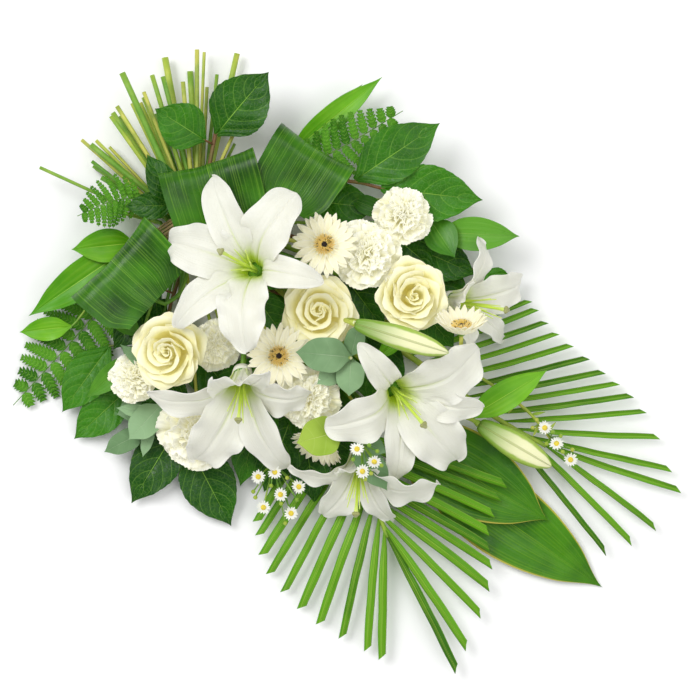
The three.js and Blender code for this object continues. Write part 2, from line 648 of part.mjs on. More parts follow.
const LOOPS = {
  aspidistra_loop_1: {
    ridge: [-140, 201], heading: 106, width: 98, reach: 66, cell: [-1.25, 5], cut: [22, 124],
    via: [[-150, 118, 49], [-136, 104, 55], [-122, 114, 58]],
  },
  aspidistra_loop_2: {
    ridge: [-30, 217], heading: 58, width: 86, reach: 50, cell: [1, 5], cut: [26, 100],
    via: [[-126, 149, 49], [-98, 158, 55]],
  },
  aspidistra_loop_3: {
    ridge: [-235, 106], heading: 137, width: 108, reach: 45, cell: [-2, 5], cut: [22, 135],
    via: [[-160, 100, 47], [-168, 72, 53], [-182, 62, 56]],
  },
};
for (const [name, { ridge, heading, width, reach, cell, cut, via }] of Object.entries(LOOPS)) {
  const foot = spot([...ridge, LOOP_FLOOR]).addScaledVector(unit(heading), LOOP_BEND - LOOP_RUN);
  const turn = Math.PI * LOOP_BEND;
  const length = LOOP_RUN - 2 * LOOP_BEND + turn + reach;
  const pitch = Array.from({ length: 15 }, (_, k) => {
    const share = ((k / 14) * length - LOOP_RUN + 2 * LOOP_BEND) / turn;
    return 184 * Math.min(Math.max(share, 0), 1);
  });
  const fold = blade({ length, width, outline: LOOP_OUTLINE, pitch, cup: -0.04, thick: 1.4, rows: 12 });
  const line = [...route({ cell, cut, via }), foot, foot.clone().addScaledVector(unit(heading), 6)];
  node(name, [placed(fold, { at: foot.toArray(), heading }), rod(line, RADII.loop)], LOOKS.leaf);
}

const PALMS = {
  palm_frond_1: {
    cell: [-1, 0], cut: [125, 122], via: [[-60, 0, 8], [-7, -74, 12], [25, -134, 16], [41, -173, 16]],
    sides: [
      { count: 10, first: 0.62, last: 0.98, roll: 20,
        tips: [[-91, -160, 12], [-80, -212, 8], [-30, -262, 8], [36, -297, 12]] },
      { count: 10, first: 0.66, last: 1, roll: -20,
        tips: [[160, -127, 30], [143, -172, 26], [146, -224, 18], [112, -309, 16]] },
    ],
  },
  palm_frond_2: {
    cell: [2, 0], cut: [140, 96], via: [[-40, 80, 8], [83, -4, 12], [153, -54, 12], [201, -81, 14]],
    sides: [
      { count: 13, first: 0.56, last: 0.98, roll: 20,
        tips: [[186, 68, 16], [214, 34, 12], [261, -5, 10], [303, -46, 10], [338, -127, 12]] },
      { count: 3, first: 0.86, last: 1, roll: -20,
        tips: [[261, -192, 14], [288, -181, 12], [313, -165, 12]] },
    ],
  },
};
for (const [name, frond] of Object.entries(PALMS)) node(name, palmFrond(frond), LOOKS.palm);

const FERNS = {
  fern_frond_1: {
    cell: [-4, 0], cut: [80, 152], count: 8, longest: 44,
    via: [[-212, 100, 5], [-238, 74, 5], [-262, 44, 5], [-292, 10, 5], [-338, -40, 4]],
  },
  fern_frond_2: {
    cell: [-3, 4], cut: [16, -80], back: true, count: 7, longest: 28,
    via: [[-192, 162, 40], [-208, 168, 44], [-232, 166, 48], [-270, 150, 50]],
  },
  fern_frond_3: {
    cell: [4, 2], cut: [60, 72], count: 8, longest: 32,
    via: [[-90, 176, 26], [-44, 202, 32], [-8, 218, 36], [56, 256, 38]],
  },
};
for (const [name, frond] of Object.entries(FERNS)) node(name, fernFrond(frond), LOOKS.fern);

const LEAFY = {
  aspidistra_leaves: {
    cell: [0.25, 0], cut: [110, 110], via: [[-60, 40, 4], [30, -50, 4], [78, -98, 4]], radius: 2.2,
    look: { outline: BROAD, thick: 1.4, rows: 5 }, leaves: [
      { from: [76, -96, 4], to: [258, -224, 3], width: 80, bow: 3 },
      { from: [52, -70, 10], to: [203, -156, 12], width: 85, bow: 6 },
      { from: [-118, 104, 3], to: [12, -52, 2.4], width: 92, bow: 1 },
    ],
  },
  salal_left: {
    cell: [-2.75, 0], cut: [100, 143], via: [[-170, 60, 8], [-172, -30, 10], [-160, -80, 10]],
    look: { bow: 8 }, leaves: [
      { from: [-240, 20, 12], to: [-288, -47, 12], width: 45 },
      { from: [-222, -24, 10], to: [-276, -74, 8], width: 42 },
      { from: [-170, -60, 10], to: [-218, -139, 9], width: 50 },
      { from: [-160, -80, 10], to: [-117, -162, 9], width: 56 },
      { from: [-167, 33, 8.4], to: [-104, -44, 5], width: 54, bow: 3 },
    ],
  },
  salal_top: {
    cell: [3, 4], cut: [110, 83], via: [[-90, 168, 42], [-30, 186, 44], [10, 184, 46], [34, 178, 48]],
    look: { bow: 10 }, leaves: [
      { from: [-142, 226, 48], to: [-192, 257, 60], width: 48 },
      { from: [-131, 232, 42], to: [-78, 294, 56], width: 60 },
      { from: [8, 186, 46], to: [93, 243, 50], width: 54 },
      { from: [34, 178, 49], to: [136, 166, 52], width: 58, bow: 4 },
    ],
  },
  salal_right: {
    cell: [3, 0], cut: [118, 83], via: [[0, 120, 8], [100, 100, 12], [138, 96, 20]],
    leaves: [
      { from: [138, 96, 20], to: [166, 74, 24], width: 26 },
      { from: [16, 118, 8], to: [52, 52, 4], width: 54, bow: 3 },
      { from: [72, 106, 10], to: [118, 44, 6], width: 54, bow: 3 },
    ],
  },
  light_leaves: {
    cell: [-4, 1], cut: [60, 158], via: [[-190, 116, 18], [-214, 124, 22]],
    look: { bow: 8 }, leaves: [
      { from: [-212, 124, 22], to: [-321, 50, 24], width: 38 },
      { from: [-214, 124, 22], to: [-277, 117, 34], width: 34 },
      { from: [-278, 40, 16], to: [-331, 34, 14], width: 24 },
    ],
  },
  ruscus_left: {
    cell: [-4, 3], cut: [142, 153], via: [[-184, 96, 31], [-200, 50, 38], [-212, 10, 40]], radius: 1.6,
    leaves: [
      { from: [-212, 10, 40], to: [-262, -32, 34], width: 24 },
      { from: [-206, 30, 40], to: [-248, 63, 40], width: 20 },
      { from: [-186, 76, 38], to: [-214, 73, 46], width: 24 },
    ],
  },
  ruscus_right: {
    cell: [3.4, 3], cut: [118, 70], via: [[-90, 172, 32], [16, 168, 36], [76, 158, 38], [94, 134, 42]],
    radius: 1.8, leaves: [
      { from: [92, 134, 42], to: [173, 130, 46], width: 34 },
      { from: [84, 146, 40], to: [108, 108, 56], width: 34 },
      { from: [4, 168, 36], to: [43, 152, 38], width: 20 },
    ],
  },
  lily_leaves: {
    cell: [4.15, 1], cut: [40, 64], via: [[-96, 180, 16], [-50, 222, 18]], radius: 2.6,
    look: { bow: 8, cup: 0.3 }, leaves: [
      { from: [-50, 222, 18], to: [16, 284, 24], width: 18 },
      { from: [-60, 212, 18], to: [36, 291, 30], width: 26, bow: 4 },
    ],
  },
  eucalyptus_left: {
    cell: [-3, 1], cut: [102, 142], via: [[-178, 60, 14], [-194, -20, 16], [-206, -70, 18]], radius: 1.6,
    leaves: [
      { from: [-205, -66, 18], to: [-245, -87, 20], width: 22 },
      { from: [-198, -38, 17], to: [-232, -49, 20], width: 24 },
      { from: [-190, -4, 16], to: [-229, 20, 20], width: 17 },
    ],
  },
  eucalyptus_centre: {
    cell: [0.4, 4], cut: [132, 112], via: [[-66, 62, 42], [-12, 12, 56], [4, 8, 90]], radius: 1.8,
    leaves: [
      { from: [4, 9, 86], to: [-51, 14, 104], width: 34 },
      { from: [4, 8, 80], to: [2, -30, 92], width: 28 },
    ],
  },
  eucalyptus_low: {
    cell: [0, 2], cut: [129, 112], via: [[-40, -30, 26], [-2, -62, 40], [-4, -62, 84]], radius: 1.8,
    leaves: [
      { from: [-4, -64, 84], to: [-50, -76, 92], width: 38 },
    ],
  },
};
const LEAF_LOOKS = { light: LOOKS.bright, eucalyptus: LOOKS.grey, lily: LOOKS.bright };
for (const [name, plant] of Object.entries(LEAFY)) {
  node(name, leafyStem(plant), LEAF_LOOKS[name.split('_')[0]] ?? LOOKS.leaf);
}

// The tie: a flat band round all the stems, its knot, and its turns between the rows of stems.

const bandSection = (inset) => TIE_OUTLINE.map(([side, height]) => new THREE.Vector2(
  side * (1 - inset / 38), TIE_BAND[1] / 2 + (height - TIE_BAND[1] / 2) * (1 - (2 * inset) / TIE_BAND[1]),
));
const band = new THREE.Shape(bandSection(0));
band.holes.push(new THREE.Path(bandSection(TIE_SKIN).reverse()));
const bandSolid = new THREE.ExtrudeGeometry(band, { depth: TIE_BAND[0], bevelEnabled: false })
  .translate(0, 0, -TIE_BAND[0] / 2);
const knot = turned([[0, 0], [3.4, 1], [3.4, 4], [0, 5]], 6)
  .applyMatrix4(new THREE.Matrix4().makeRotationX(-Math.PI / 2))
  .translate(0, TIE_BAND[1] - 1.4, 0);
const held = [
  ...Object.values(LILIES).map(({ cell, radius }) => ({ cell, radius })),
  ...Object.entries(FLOWERS).map(([name, { cell }]) => ({ cell, radius: stemRadius(name) })),
  ...Object.values(ASTERS).map(({ cell }) => ({ cell, radius: RADII.aster })),
  ...Object.values(LOOPS).map(({ cell }) => ({ cell, radius: RADII.loop })),
  ...Object.values(PALMS).map(({ cell }) => ({ cell, radius: RADII.palm })),
  ...Object.values(FERNS).map(({ cell }) => ({ cell, radius: RADII.fern })),
  ...Object.values(LEAFY).map(({ cell, radius = RADII.leafy }) => ({ cell, radius })),
];

/** How far the band reaches to one side at a height, to the middle of its skin. */
function wall(height, side) {
  const edge = TIE_OUTLINE.filter(([x]) => x * side > 0).sort((one, other) => one[1] - other[1]);
  const next = edge.findIndex(([, z]) => z > height);
  const [[x0, z0], [x1, z1]] = [edge[next - 1], edge[next]];
  return x0 + ((x1 - x0) * (height - z0)) / (z1 - z0) - (side * TIE_SKIN) / 2;
}

/** One turn of the binding, from wall to wall under the stems of a row. */
function layer(row) {
  const under = held.filter(({ cell }) => cell[1] === row)
    .map(({ cell, radius }) => [cell[0] * COLUMN_PITCH, ROW_HEIGHTS[row] - radius - SEAT - LAYER.thick])
    .sort((one, other) => one[0] - other[0]);
  const [first, last] = [under[0][1], under[under.length - 1][1]];
  const low = [[wall(first, -1), first], ...under, [wall(last, 1), last]];
  const high = low.map(([x, z]) => [x, z + LAYER.thick]).reverse();
  const section = new THREE.Shape([...low, ...high].map(([x, z]) => new THREE.Vector2(x, z)));
  return new THREE.ExtrudeGeometry(section, { depth: LAYER.wide, bevelEnabled: false })
    .translate(0, 0, -LAYER.wide / 2);
}

const upright = new THREE.Matrix4()
  .makeTranslation(TIE.x, TIE.y, 0)
  .multiply(new THREE.Matrix4().makeRotationZ(rad(SHEAF_HEADING + 90)))
  .multiply(new THREE.Matrix4().makeRotationX(Math.PI / 2));
node('tie', [bandSolid, knot, ...ROW_HEIGHTS.map((_, row) => layer(row))].map((part) => (
  part.applyMatrix4(upright)
)), LOOKS.tie);

// The sheaf's own origin: the middle of its box, on the table.
const box = new THREE.Box3().setFromObject(sheaf);
const centre = box.getCenter(new THREE.Vector3());
sheaf.position.set(-centre.x, -centre.y, -box.min.z);

export default sheaf;
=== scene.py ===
"""A tied funeral sheaf of white and cream flowers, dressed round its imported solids.

Every length is in millimetres in the drawing's own frame, with +Z up from the table and the sheaf lying
as it is seen from above. A piece turns into metres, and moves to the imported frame, when it is finished.
"""

import logging
import math
import random
from dataclasses import dataclass, replace
from enum import Enum
from typing import Callable, Iterable, Sequence

import bmesh
import bpy
from mathutils import Matrix, Vector, noise


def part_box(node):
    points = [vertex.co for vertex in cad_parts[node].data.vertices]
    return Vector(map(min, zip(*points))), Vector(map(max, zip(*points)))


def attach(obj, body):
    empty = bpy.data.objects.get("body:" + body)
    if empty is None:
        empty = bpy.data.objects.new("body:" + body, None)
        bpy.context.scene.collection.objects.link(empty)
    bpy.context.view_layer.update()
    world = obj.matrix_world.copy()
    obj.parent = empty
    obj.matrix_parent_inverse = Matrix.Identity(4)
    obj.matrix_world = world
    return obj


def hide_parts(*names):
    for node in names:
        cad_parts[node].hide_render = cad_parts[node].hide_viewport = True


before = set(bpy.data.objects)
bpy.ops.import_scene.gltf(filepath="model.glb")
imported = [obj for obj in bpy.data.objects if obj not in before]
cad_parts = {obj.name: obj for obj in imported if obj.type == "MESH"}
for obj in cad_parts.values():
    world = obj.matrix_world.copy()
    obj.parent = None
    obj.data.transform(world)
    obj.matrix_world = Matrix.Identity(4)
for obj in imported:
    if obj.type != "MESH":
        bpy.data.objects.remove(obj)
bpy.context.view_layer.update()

LOG = logging.getLogger("sheaf")
MM = 0.001
Point = Sequence[float]
Spot = tuple[float, float, float]
Colour = tuple[float, float, float, float]
Maker = Callable[[float, float], Vector]
Socket = bpy.types.NodeSocket
Material = bpy.types.Material

TIE = Vector((-157.0, 151.0, 0.0))
SHEAF_HEADING = -58.0  # way that the flowers lie from the tie
COLUMN_PITCH = 7.5  # stems side by side in the tie
ROW_HEIGHTS = (6.5, 14.0, 21.5, 29.0, 36.5, 44.0)
STRAIGHT = 11.0  # how far a stem runs straight on each side of the tie's middle
END_LIFT = 3.0  # height of the lowest row's cut ends
END_RISE = 9.4  # and how much higher each next row's are
SEAT = 0.3  # gap between a head and the stem under it
FINE = 96  # steps in which a midrib's bend is added up
CHORDS = 200  # steps in which a curve's length is measured
GOLDEN = 137.5  # degrees from one floret of an eye to the next
LILY_WALL = 0.7  # how thick petals and leaves are
ROSE_WALL = 0.35
PETAL_WALL = 0.5
ASTER_WALL = 0.35
LEAF_WALL = 0.7
FERN_WALL = 0.5
NECK = 4.0  # how far a leaf's stalk runs up its midrib
SLIM = 0.8  # a flower stem's radius as a share of its solid's
WELD = 0.02  # points of open sheets that are nearer than this are one
SEAM = 0.004  # and points of a closed sheet, whose edges meet
SLIVER = 0.002  # edges shorter than this are dropped
CRISP = 1.0  # radians from which the turn over an edge stays sharp
CAP = 0.97  # how far a rod's flat end reaches, as a share of its radius
BODY = "root"  # the part's one body
LAYERS = ("along", "across", "tint", "core")


def tie_shift() -> Vector:
    """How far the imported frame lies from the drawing's, read from the tie's box.

    Returns:
        The shift, in metres.
    """
    low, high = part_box("tie")
    middle = (Vector(low) + Vector(high)) / 2
    return Vector((middle.x - TIE.x * MM, middle.y - TIE.y * MM, Vector(low).z))


SHIFT = tie_shift()


def colour(code: str) -> Colour:
    """The linear colour that a shader wants, from a screen colour's six hexadecimal digits."""
    parts = [int(code[k:k + 2], 16) / 255 for k in (0, 2, 4)]
    return (*[c / 12.92 if c <= 0.04045 else ((c + 0.055) / 1.055) ** 2.4 for c in parts], 1.0)


def profile(values: Sequence[float], t: float) -> float:
    """A smooth curve through equally spaced values, read at t from 0 to 1.

    Args:
        values: The values that the curve passes through.
        t: Where to read it.

    Returns:
        The curve's value there.
    """
    last = len(values) - 1
    if last == 0:
        return values[0]
    i = min(int(t * last), last - 1)
    f = t * last - i
    a, b, c, d = (values[min(max(k, 0), last)] for k in (i - 1, i, i + 1, i + 2))
    return b + 0.5 * f * (c - a + f * (2 * a - 5 * b + 4 * c - d + f * (3 * (b - c) + d - a)))


def smooth(low: float, high: float, value: float) -> float:
    """A step from 0 at low to 1 at high that eases in and out."""
    share = min(max((value - low) / (high - low), 0.0), 1.0)
    return share * share * (3 - 2 * share)


def unit(heading: float) -> Vector:
    """The level direction at a heading in degrees from +X."""
    return Vector((math.cos(math.radians(heading)), math.sin(math.radians(heading)), 0.0))


def heading_of(way: Vector) -> float:
    """The heading of a direction, in degrees from +X."""
    return math.degrees(math.atan2(way.y, way.x))


def turn(axis: str, degrees: float) -> Matrix:
    """A turn about one axis."""
    return Matrix.Rotation(math.radians(degrees), 4, axis)


def placed(at: Point, heading: float = 0.0, roll: float = 0.0, dip: float = 0.0) -> Matrix:
    """A place for a shape that is made along +X: rolled, dipped, turned to a heading, then moved."""
    return Matrix.Translation(Vector(at)) @ turn("Z", heading) @ turn("Y", dip) @ turn("X", roll)


@dataclass(frozen=True)
class Pose:
    """Where a head's base is, how far it leans from upright, and towards which heading."""

    at: Spot
    lean: float = 0.0
    toward: float = 0.0

    def matrix(self, spin: float = 0.0) -> Matrix:
        """The head's own frame, axis up, in the drawing's, turned about its axis by `spin` degrees."""
        return (Matrix.Translation(Vector(self.at)) @ turn("Z", self.toward) @ turn("Y", self.lean)
                @ turn("Z", spin - self.toward))

    def axis(self) -> Vector:
        """The way that the head's axis points."""
        lean = math.radians(self.lean)
        return unit(self.toward) * math.sin(lean) + Vector((0, 0, math.cos(lean)))

    def seated(self) -> "Pose":
        """The pose, lifted off its stem by the seat's gap."""
        return replace(self, at=tuple(Vector(self.at) + self.axis() * SEAT))


class Curve:
    """A centripetal curve through points, read by point number or by its share of the length."""

    def __init__(self, points: Iterable[Point]) -> None:
        """Keeps the points and measures the curve.

        Args:
            points: What the curve passes through.
        """
        self.points = [Vector(p) for p in points]
        last = len(self.points) - 1
        self.table = [self.at(last * k / CHORDS) for k in range(CHORDS + 1)]
        self.lengths = [0.0]
        for one, other in zip(self.table, self.table[1:]):
            self.lengths.append(self.lengths[-1] + (other - one).length)
        self.length = self.lengths[-1]

    def at(self, place: float) -> Vector:
        """A point of the curve.

        Args:
            place: Where, counted in points, such as 1.5 between the second and the third.

        Returns:
            The point.
        """
        points, last = self.points, len(self.points) - 1
        i = min(int(place), last - 1)
        f = place - i
        p1, p2 = points[i], points[i + 1]
        p0 = points[i - 1] if i > 0 else 2 * p1 - p2
        p3 = points[i + 2] if i + 2 <= last else 2 * p2 - p1
        dt0, dt1, dt2 = (max((b - a).length, 1e-4) ** 0.5 for a, b in ((p0, p1), (p1, p2), (p2, p3)))
        t1 = ((p1 - p0) / dt0 - (p2 - p0) / (dt0 + dt1) + (p2 - p1) / dt1) * dt1
        t2 = ((p2 - p1) / dt1 - (p3 - p1) / (dt1 + dt2) + (p3 - p2) / dt2) * dt1
        bend = -3 * p1 + 3 * p2 - 2 * t1 - t2
        return p1 + t1 * f + bend * f * f + (2 * p1 - 2 * p2 + t1 + t2) * f ** 3

    def share(self, share: float) -> Vector:
        """A point of the curve.

        Args:
            share: Where, as a share of its length.

        Returns:
            The point.
        """
        goal = min(max(share, 0.0), 1.0) * self.length
        k = max(next((n for n, far in enumerate(self.lengths) if far >= goal), CHORDS), 1)
        low, high = self.lengths[k - 1], self.lengths[k]
        return self.table[k - 1].lerp(self.table[k], (goal - low) / max(high - low, 1e-9))

    def way(self, share: float) -> Vector:
        """The curve's direction at a share of its length."""
        return (self.share(min(share + 0.01, 1.0)) - self.share(max(share - 0.01, 0.0))).normalized()


def stations(points: Iterable[Point], fine: int, plain: int = 0) -> list[Vector]:
    """Places on a curve through points, with its first lengths straight.

    Args:
        points: What the curve passes through.
        fine: How many places each length has.
        plain: How many of the first lengths are straight.

    Returns:
        The places, one of them on each point.
    """
    curve = Curve(points)
    places = []
    for k in range(len(curve.points) - 1):
        for i in range(fine):
            straight = curve.points[k].lerp(curve.points[k + 1], i / fine)
            places.append(straight if k < plain else curve.at(k + i / fine))
    return [*places, curve.points[-1]]


def nearest_on(line: Sequence[Vector], at: Vector) -> Vector:
    """The station of a stem's line that lies nearest a point."""
    return min(line, key=lambda place: (place - at).length).copy()


class Rib:
    """A midrib in its own upright plane, bending as its pitch says."""

    def __init__(self, length: float, pitch: Sequence[float]) -> None:
        """Adds the bend up in small steps.

        Args:
            length: How long it is.
            pitch: Its slope in degrees, at equal steps from base to tip.
        """
        step = length / FINE
        self.points = [(0.0, 0.0, math.radians(profile(pitch, 0)))]
        for i in range(FINE):
            x, z, _ = self.points[i]
            middle = math.radians(profile(pitch, (i + 0.5) / FINE))
            slope = math.radians(profile(pitch, (i + 1) / FINE))
            self.points.append((x + step * math.cos(middle), z + step * math.sin(middle), slope))

    def at(self, t: float) -> Spot:
        """Where the midrib is.

        Args:
            t: A share of its length.

        Returns:
            Its distance from the base, its height and its slope in radians.
        """
        place = min(max(t, 0.0), 1.0) * FINE
        i = min(int(place), FINE - 1)
        f = place - i
        return tuple(a + (b - a) * f for a, b in zip(self.points[i], self.points[i + 1]))


@dataclass(frozen=True)
class Blade:
    """A petal or a leaf along its midrib, from its base at the origin along +X.

    The outline is its width along it as a share of the whole width, the pitch its slope in degrees. Its
    edges lift by the cup, fold up along the midrib by the crease and wave by the wave, only near the rim
    where they are frilled. A groove runs beside the midrib, and the whole of it is a little uneven. Teeth
    bite into the edges. The midrib sweeps to one side. The tip is notched, slanted or, by a power, blunt.
    """

    length: float
    width: float
    outline: tuple[float, ...]
    pitch: tuple[float, ...] = (0.0,)
    cup: float = 0.0
    crease: float = 0.0
    groove: float = 0.0
    wave: float = 0.0
    waves: float = 3.0
    uneven: float = 0.0
    teeth: int = 0
    bite: float = 0.0
    sweep: float = 0.0
    rows: int = 20
    cells: int = 8
    notch: float = 0.0
    blunt: float = 0.0
    frill: bool = False
    slant: float = 0.0

    def maker(self, seed: float = 0.0) -> Maker:
        """The rule that puts the blade's points in place.

        Args:
            seed: Sets where the waves and the unevenness start.

        Returns:
            A function from t along and s across, from -1 to 1, to a point.
        """
        rib = Rib(self.length, self.pitch)

        def at(t: float, s: float) -> Vector:
            """One point of the blade, for t along and s across."""
            t = 1 - (1 - t) ** 1.35 if self.blunt else t
            reach = t * (1 - self.notch * abs(s) ** 3 * t - self.slant * (s + 1) / 2 * t)
            x, z, slope = rib.at(reach)
            half = self.width / 2 * max(profile(self.outline, t), 0.0)
            if self.blunt:
                half *= math.sqrt(max(1 - t ** self.blunt, 0.0))
            if self.teeth:
                half *= 1 - self.bite * ((t * self.teeth) % 1.0) * smooth(0.7, 1.0, abs(s))
            side = math.copysign(1.0, s)
            if self.frill:
                edge = abs(s) ** 3 * smooth(0.15, 0.5, t)
            else:
                edge = abs(s) ** 2 * math.sin(math.pi * min(t * 1.15, 1.0)) ** 0.5
            lift = self.cup * half * s * s + self.crease * half * abs(s)
            lift += self.wave * edge * math.sin(2 * math.pi * (self.waves * t + seed + 0.31 * side))
            ridge = 0.6 * math.exp(-(((abs(s) - 0.17) / 0.07) ** 2)) - math.exp(-((s / 0.08) ** 2))
            lift += self.groove * ridge * (1 - t) ** 0.6
            if self.uneven:
                far = Vector((x * 0.035, s * half * 0.05, seed * 17))
                lift += self.uneven * noise.noise(far) * min(4 * t, 1.0)
            bend = self.sweep * t * t * self.length
            return Vector((x - lift * math.sin(slope), s * half + bend, z + lift * math.cos(slope)))

        return at


# Pieces.


def shown(name: str, data: bpy.types.ID) -> bpy.types.Object:
    """Puts a mesh, a light or a camera into the scene.

    Args:
        name: The object's name.
        data: What it shows.

    Returns:
        The object.
    """
    made = bpy.data.objects.new(name, data)
    bpy.context.scene.collection.objects.link(made)
    return made


class Piece:
    """One Blender mesh in the making, with what its finish reads kept on its points.

    `along` runs from a shape's base to its tip, `across` from edge to edge, and `tint` tells one petal,
    leaf or stem from the next. `core` is 1 on a stem's cut and on a lily petal's face, and 0 elsewhere.
    """

    def __init__(self, name: str, node: str | None = None) -> None:
        """Starts an empty mesh.

        Args:
            name: The piece's name.
            node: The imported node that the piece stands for, if there is one.
        """
        self.name, self.node = name, node
        self.bm = bmesh.new()
        self.layers = {key: self.bm.verts.layers.float.new(key) for key in LAYERS}
        self.material = 0
        self.open: list[bmesh.types.BMFace] = []

    def sheet(self, rows: int, cells: int, at: Maker, place: Matrix = Matrix(), tint: float = 0.0,
              ease: float = 1.0, closed: bool = False, core: float = 0.0) -> None:
        """Adds a grid, each of its points put in place by a rule.

        Args:
            rows: Faces along it.
            cells: Faces across it.
            at: The rule, from t along and s across to a point.
            place: Where the whole sheet goes.
            tint: What tells it from its neighbours.
            ease: Above 1, faces are narrower near the middle line.
            closed: Whether its edges meet, so that it needs no wall.
            core: What its `core` is.
        """
        made = bmesh.ops.create_grid(self.bm, x_segments=rows, y_segments=cells, size=1)["verts"]
        layers = [self.layers[key] for key in LAYERS]
        for vert in made:
            t, s = (vert.co.x + 1) / 2, vert.co.y
            s = math.copysign(abs(s) ** ease, s)
            vert.co = place @ at(t, s)
            for layer, value in zip(layers, (t, s, tint, core)):
                vert[layer] = value
        faces = list({face for vert in made for face in vert.link_faces})
        for face in faces:
            face.material_index, face.smooth = self.material, True
        if closed:
            bmesh.ops.remove_doubles(self.bm, verts=made, dist=SEAM)
        else:
            self.open.extend(faces)

    def blade(self, shape: Blade, place: Matrix, tint: float = 0.0, ease: float = 1.0) -> None:
        """Adds a petal or a leaf."""
        self.sheet(shape.rows, shape.cells, shape.maker(tint), place, tint, ease)

    def thicken(self, wall: float, faced: bool = False) -> None:
        """Gives every open sheet so far a wall, its edges kept crisp.

        Args:
            wall: How thick the wall is.
            faced: Whether `core` is to tell a petal's face, 1, from its back, 0.
        """
        faces = [face for face in self.open if face.is_valid]
        verts = list({vert for face in faces for vert in face.verts})
        bmesh.ops.remove_doubles(self.bm, verts=verts, dist=WELD)
        faces = [face for face in self.open if face.is_valid]
        self.bm.normal_update()
        made = bmesh.ops.extrude_face_region(self.bm, geom=faces, use_keep_orig=True)["geom"]
        for vert in (part for part in made if isinstance(part, bmesh.types.BMVert)):
            vert.co += vert.normal * wall
            if faced:
                vert[self.layers["core"]] = 1.0
        bmesh.ops.reverse_faces(self.bm, faces=faces)
        for edge in self.bm.edges:
            if len(edge.link_faces) == 2 and edge.calc_face_angle(0.0) > CRISP:
                edge.smooth = False
        self.open = []

    def rod(self, line: Sequence[Vector], radius: float | Callable[[float], float], sides: int = 10,
            tint: float = 0.0, place: Matrix = Matrix(), flat: float = 1.0) -> None:
        """Adds a round tube along stations, with both ends capped.

        Args:
            line: The stations of its centre line.
            radius: Its radius, or the radius at each share of its stations.
            sides: Faces round it.
            tint: What tells it from its neighbours.
            place: Where the whole tube goes.
            flat: Its height as a share of its width.
        """
        size = radius if callable(radius) else (lambda share: radius)
        ways = [(b - a).normalized() for a, b in zip(line, line[1:])]
        normal = (Vector((1, 0, 0)) if abs(ways[0].z) > 0.9 else Vector((0, 0, 1))).cross(ways[0])
        frames = []
        for k, centre in enumerate(line):
            way = (ways[max(k - 1, 0)] + ways[min(k, len(ways) - 1)]).normalized()
            normal = (normal - way * normal.dot(way)).normalized()
            frames.append((centre, normal.copy(), way.cross(normal)))
        last = len(line) - 1
        rings = [(0, 0.0), (0, CAP), *((k, 1.0) for k in range(last + 1)), (last, CAP), (last, 0.0)]

        def at(t: float, s: float) -> Vector:
            """One point of the tube."""
            k, share = rings[min(round(t * (len(rings) - 1)), len(rings) - 1)]
            centre, side, up = frames[k]
            swing = math.pi * (s + 1)
            out = side * math.cos(swing) + up * (math.sin(swing) * flat)
            return centre + out * (size(k / last) * share)

        before = len(self.bm.verts)
        self.sheet(len(rings) - 1, sides, at, place, tint, closed=True)
        self.bm.verts.ensure_lookup_table()
        edge = 2 / (len(rings) - 1)
        for k in range(before, len(self.bm.verts)):
            vert = self.bm.verts[k]
            t = vert[self.layers["along"]]
            vert[self.layers["core"]] = 1.0 if t < edge * 0.75 or t > 1 - edge * 0.75 else 0.0
            vert[self.layers["along"]] = min(max((t - edge) / (1 - 2 * edge), 0.0), 1.0)

    def turned(self, pairs: Sequence[tuple[float, float]], sides: int, place: Matrix = Matrix(),
               tint: float = 0.0, lobes: int = 0, depth: float = 0.0, smoothed: int = 0,
               core: float = 0.0) -> None:
        """Adds a solid of revolution about Z.

        Args:
            pairs: Radius and height from the foot on the axis to the top on the axis.
            sides: Faces round it.
            place: Where it goes.
            tint: What tells it from its neighbours.
            lobes: How many soft ridges run up it.
            depth: How deep they are, as a share of the radius.
            smoothed: Faces along it, where its pairs are joined by a smooth curve.
            core: What its `core` is.
        """
        rows = smoothed or len(pairs) - 1
        radii, heights = [r for r, _ in pairs], [z for _, z in pairs]

        def at(t: float, s: float) -> Vector:
            """One point of the turned shape."""
            swing = math.pi * (s + 1)
            if smoothed:
                radius, height = max(profile(radii, t), 0.0), profile(heights, t)
            else:
                radius, height = pairs[min(round(t * rows), rows)]
            radius *= 1 + depth * math.cos(lobes * swing)
            return Vector((radius * math.cos(swing), radius * math.sin(swing), height))

        self.sheet(rows, sides, at, place, tint, closed=True, core=core)

    def finish(self, slot: str, *materials: Material) -> None:
        """Turns the mesh into an object of the scene, in metres and in its place.

        Args:
            slot: The record's material slot; not used.
            materials: The object's materials, in the order that its faces name them.
        """
        bmesh.ops.dissolve_degenerate(self.bm, dist=SLIVER, edges=self.bm.edges)
        self.bm.transform(Matrix.Translation(SHIFT) @ Matrix.Scale(MM, 4))
        mesh = bpy.data.meshes.new(self.name)
        self.bm.to_mesh(mesh)
        self.bm.free()
        piece = shown(self.name, mesh)
        for material in materials:
            mesh.materials.append(material)
        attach(piece, BODY)
        if self.node:
            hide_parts(self.node)
        LOG.info("%s: %d faces", self.name, len(mesh.polygons))


# Shader tools.


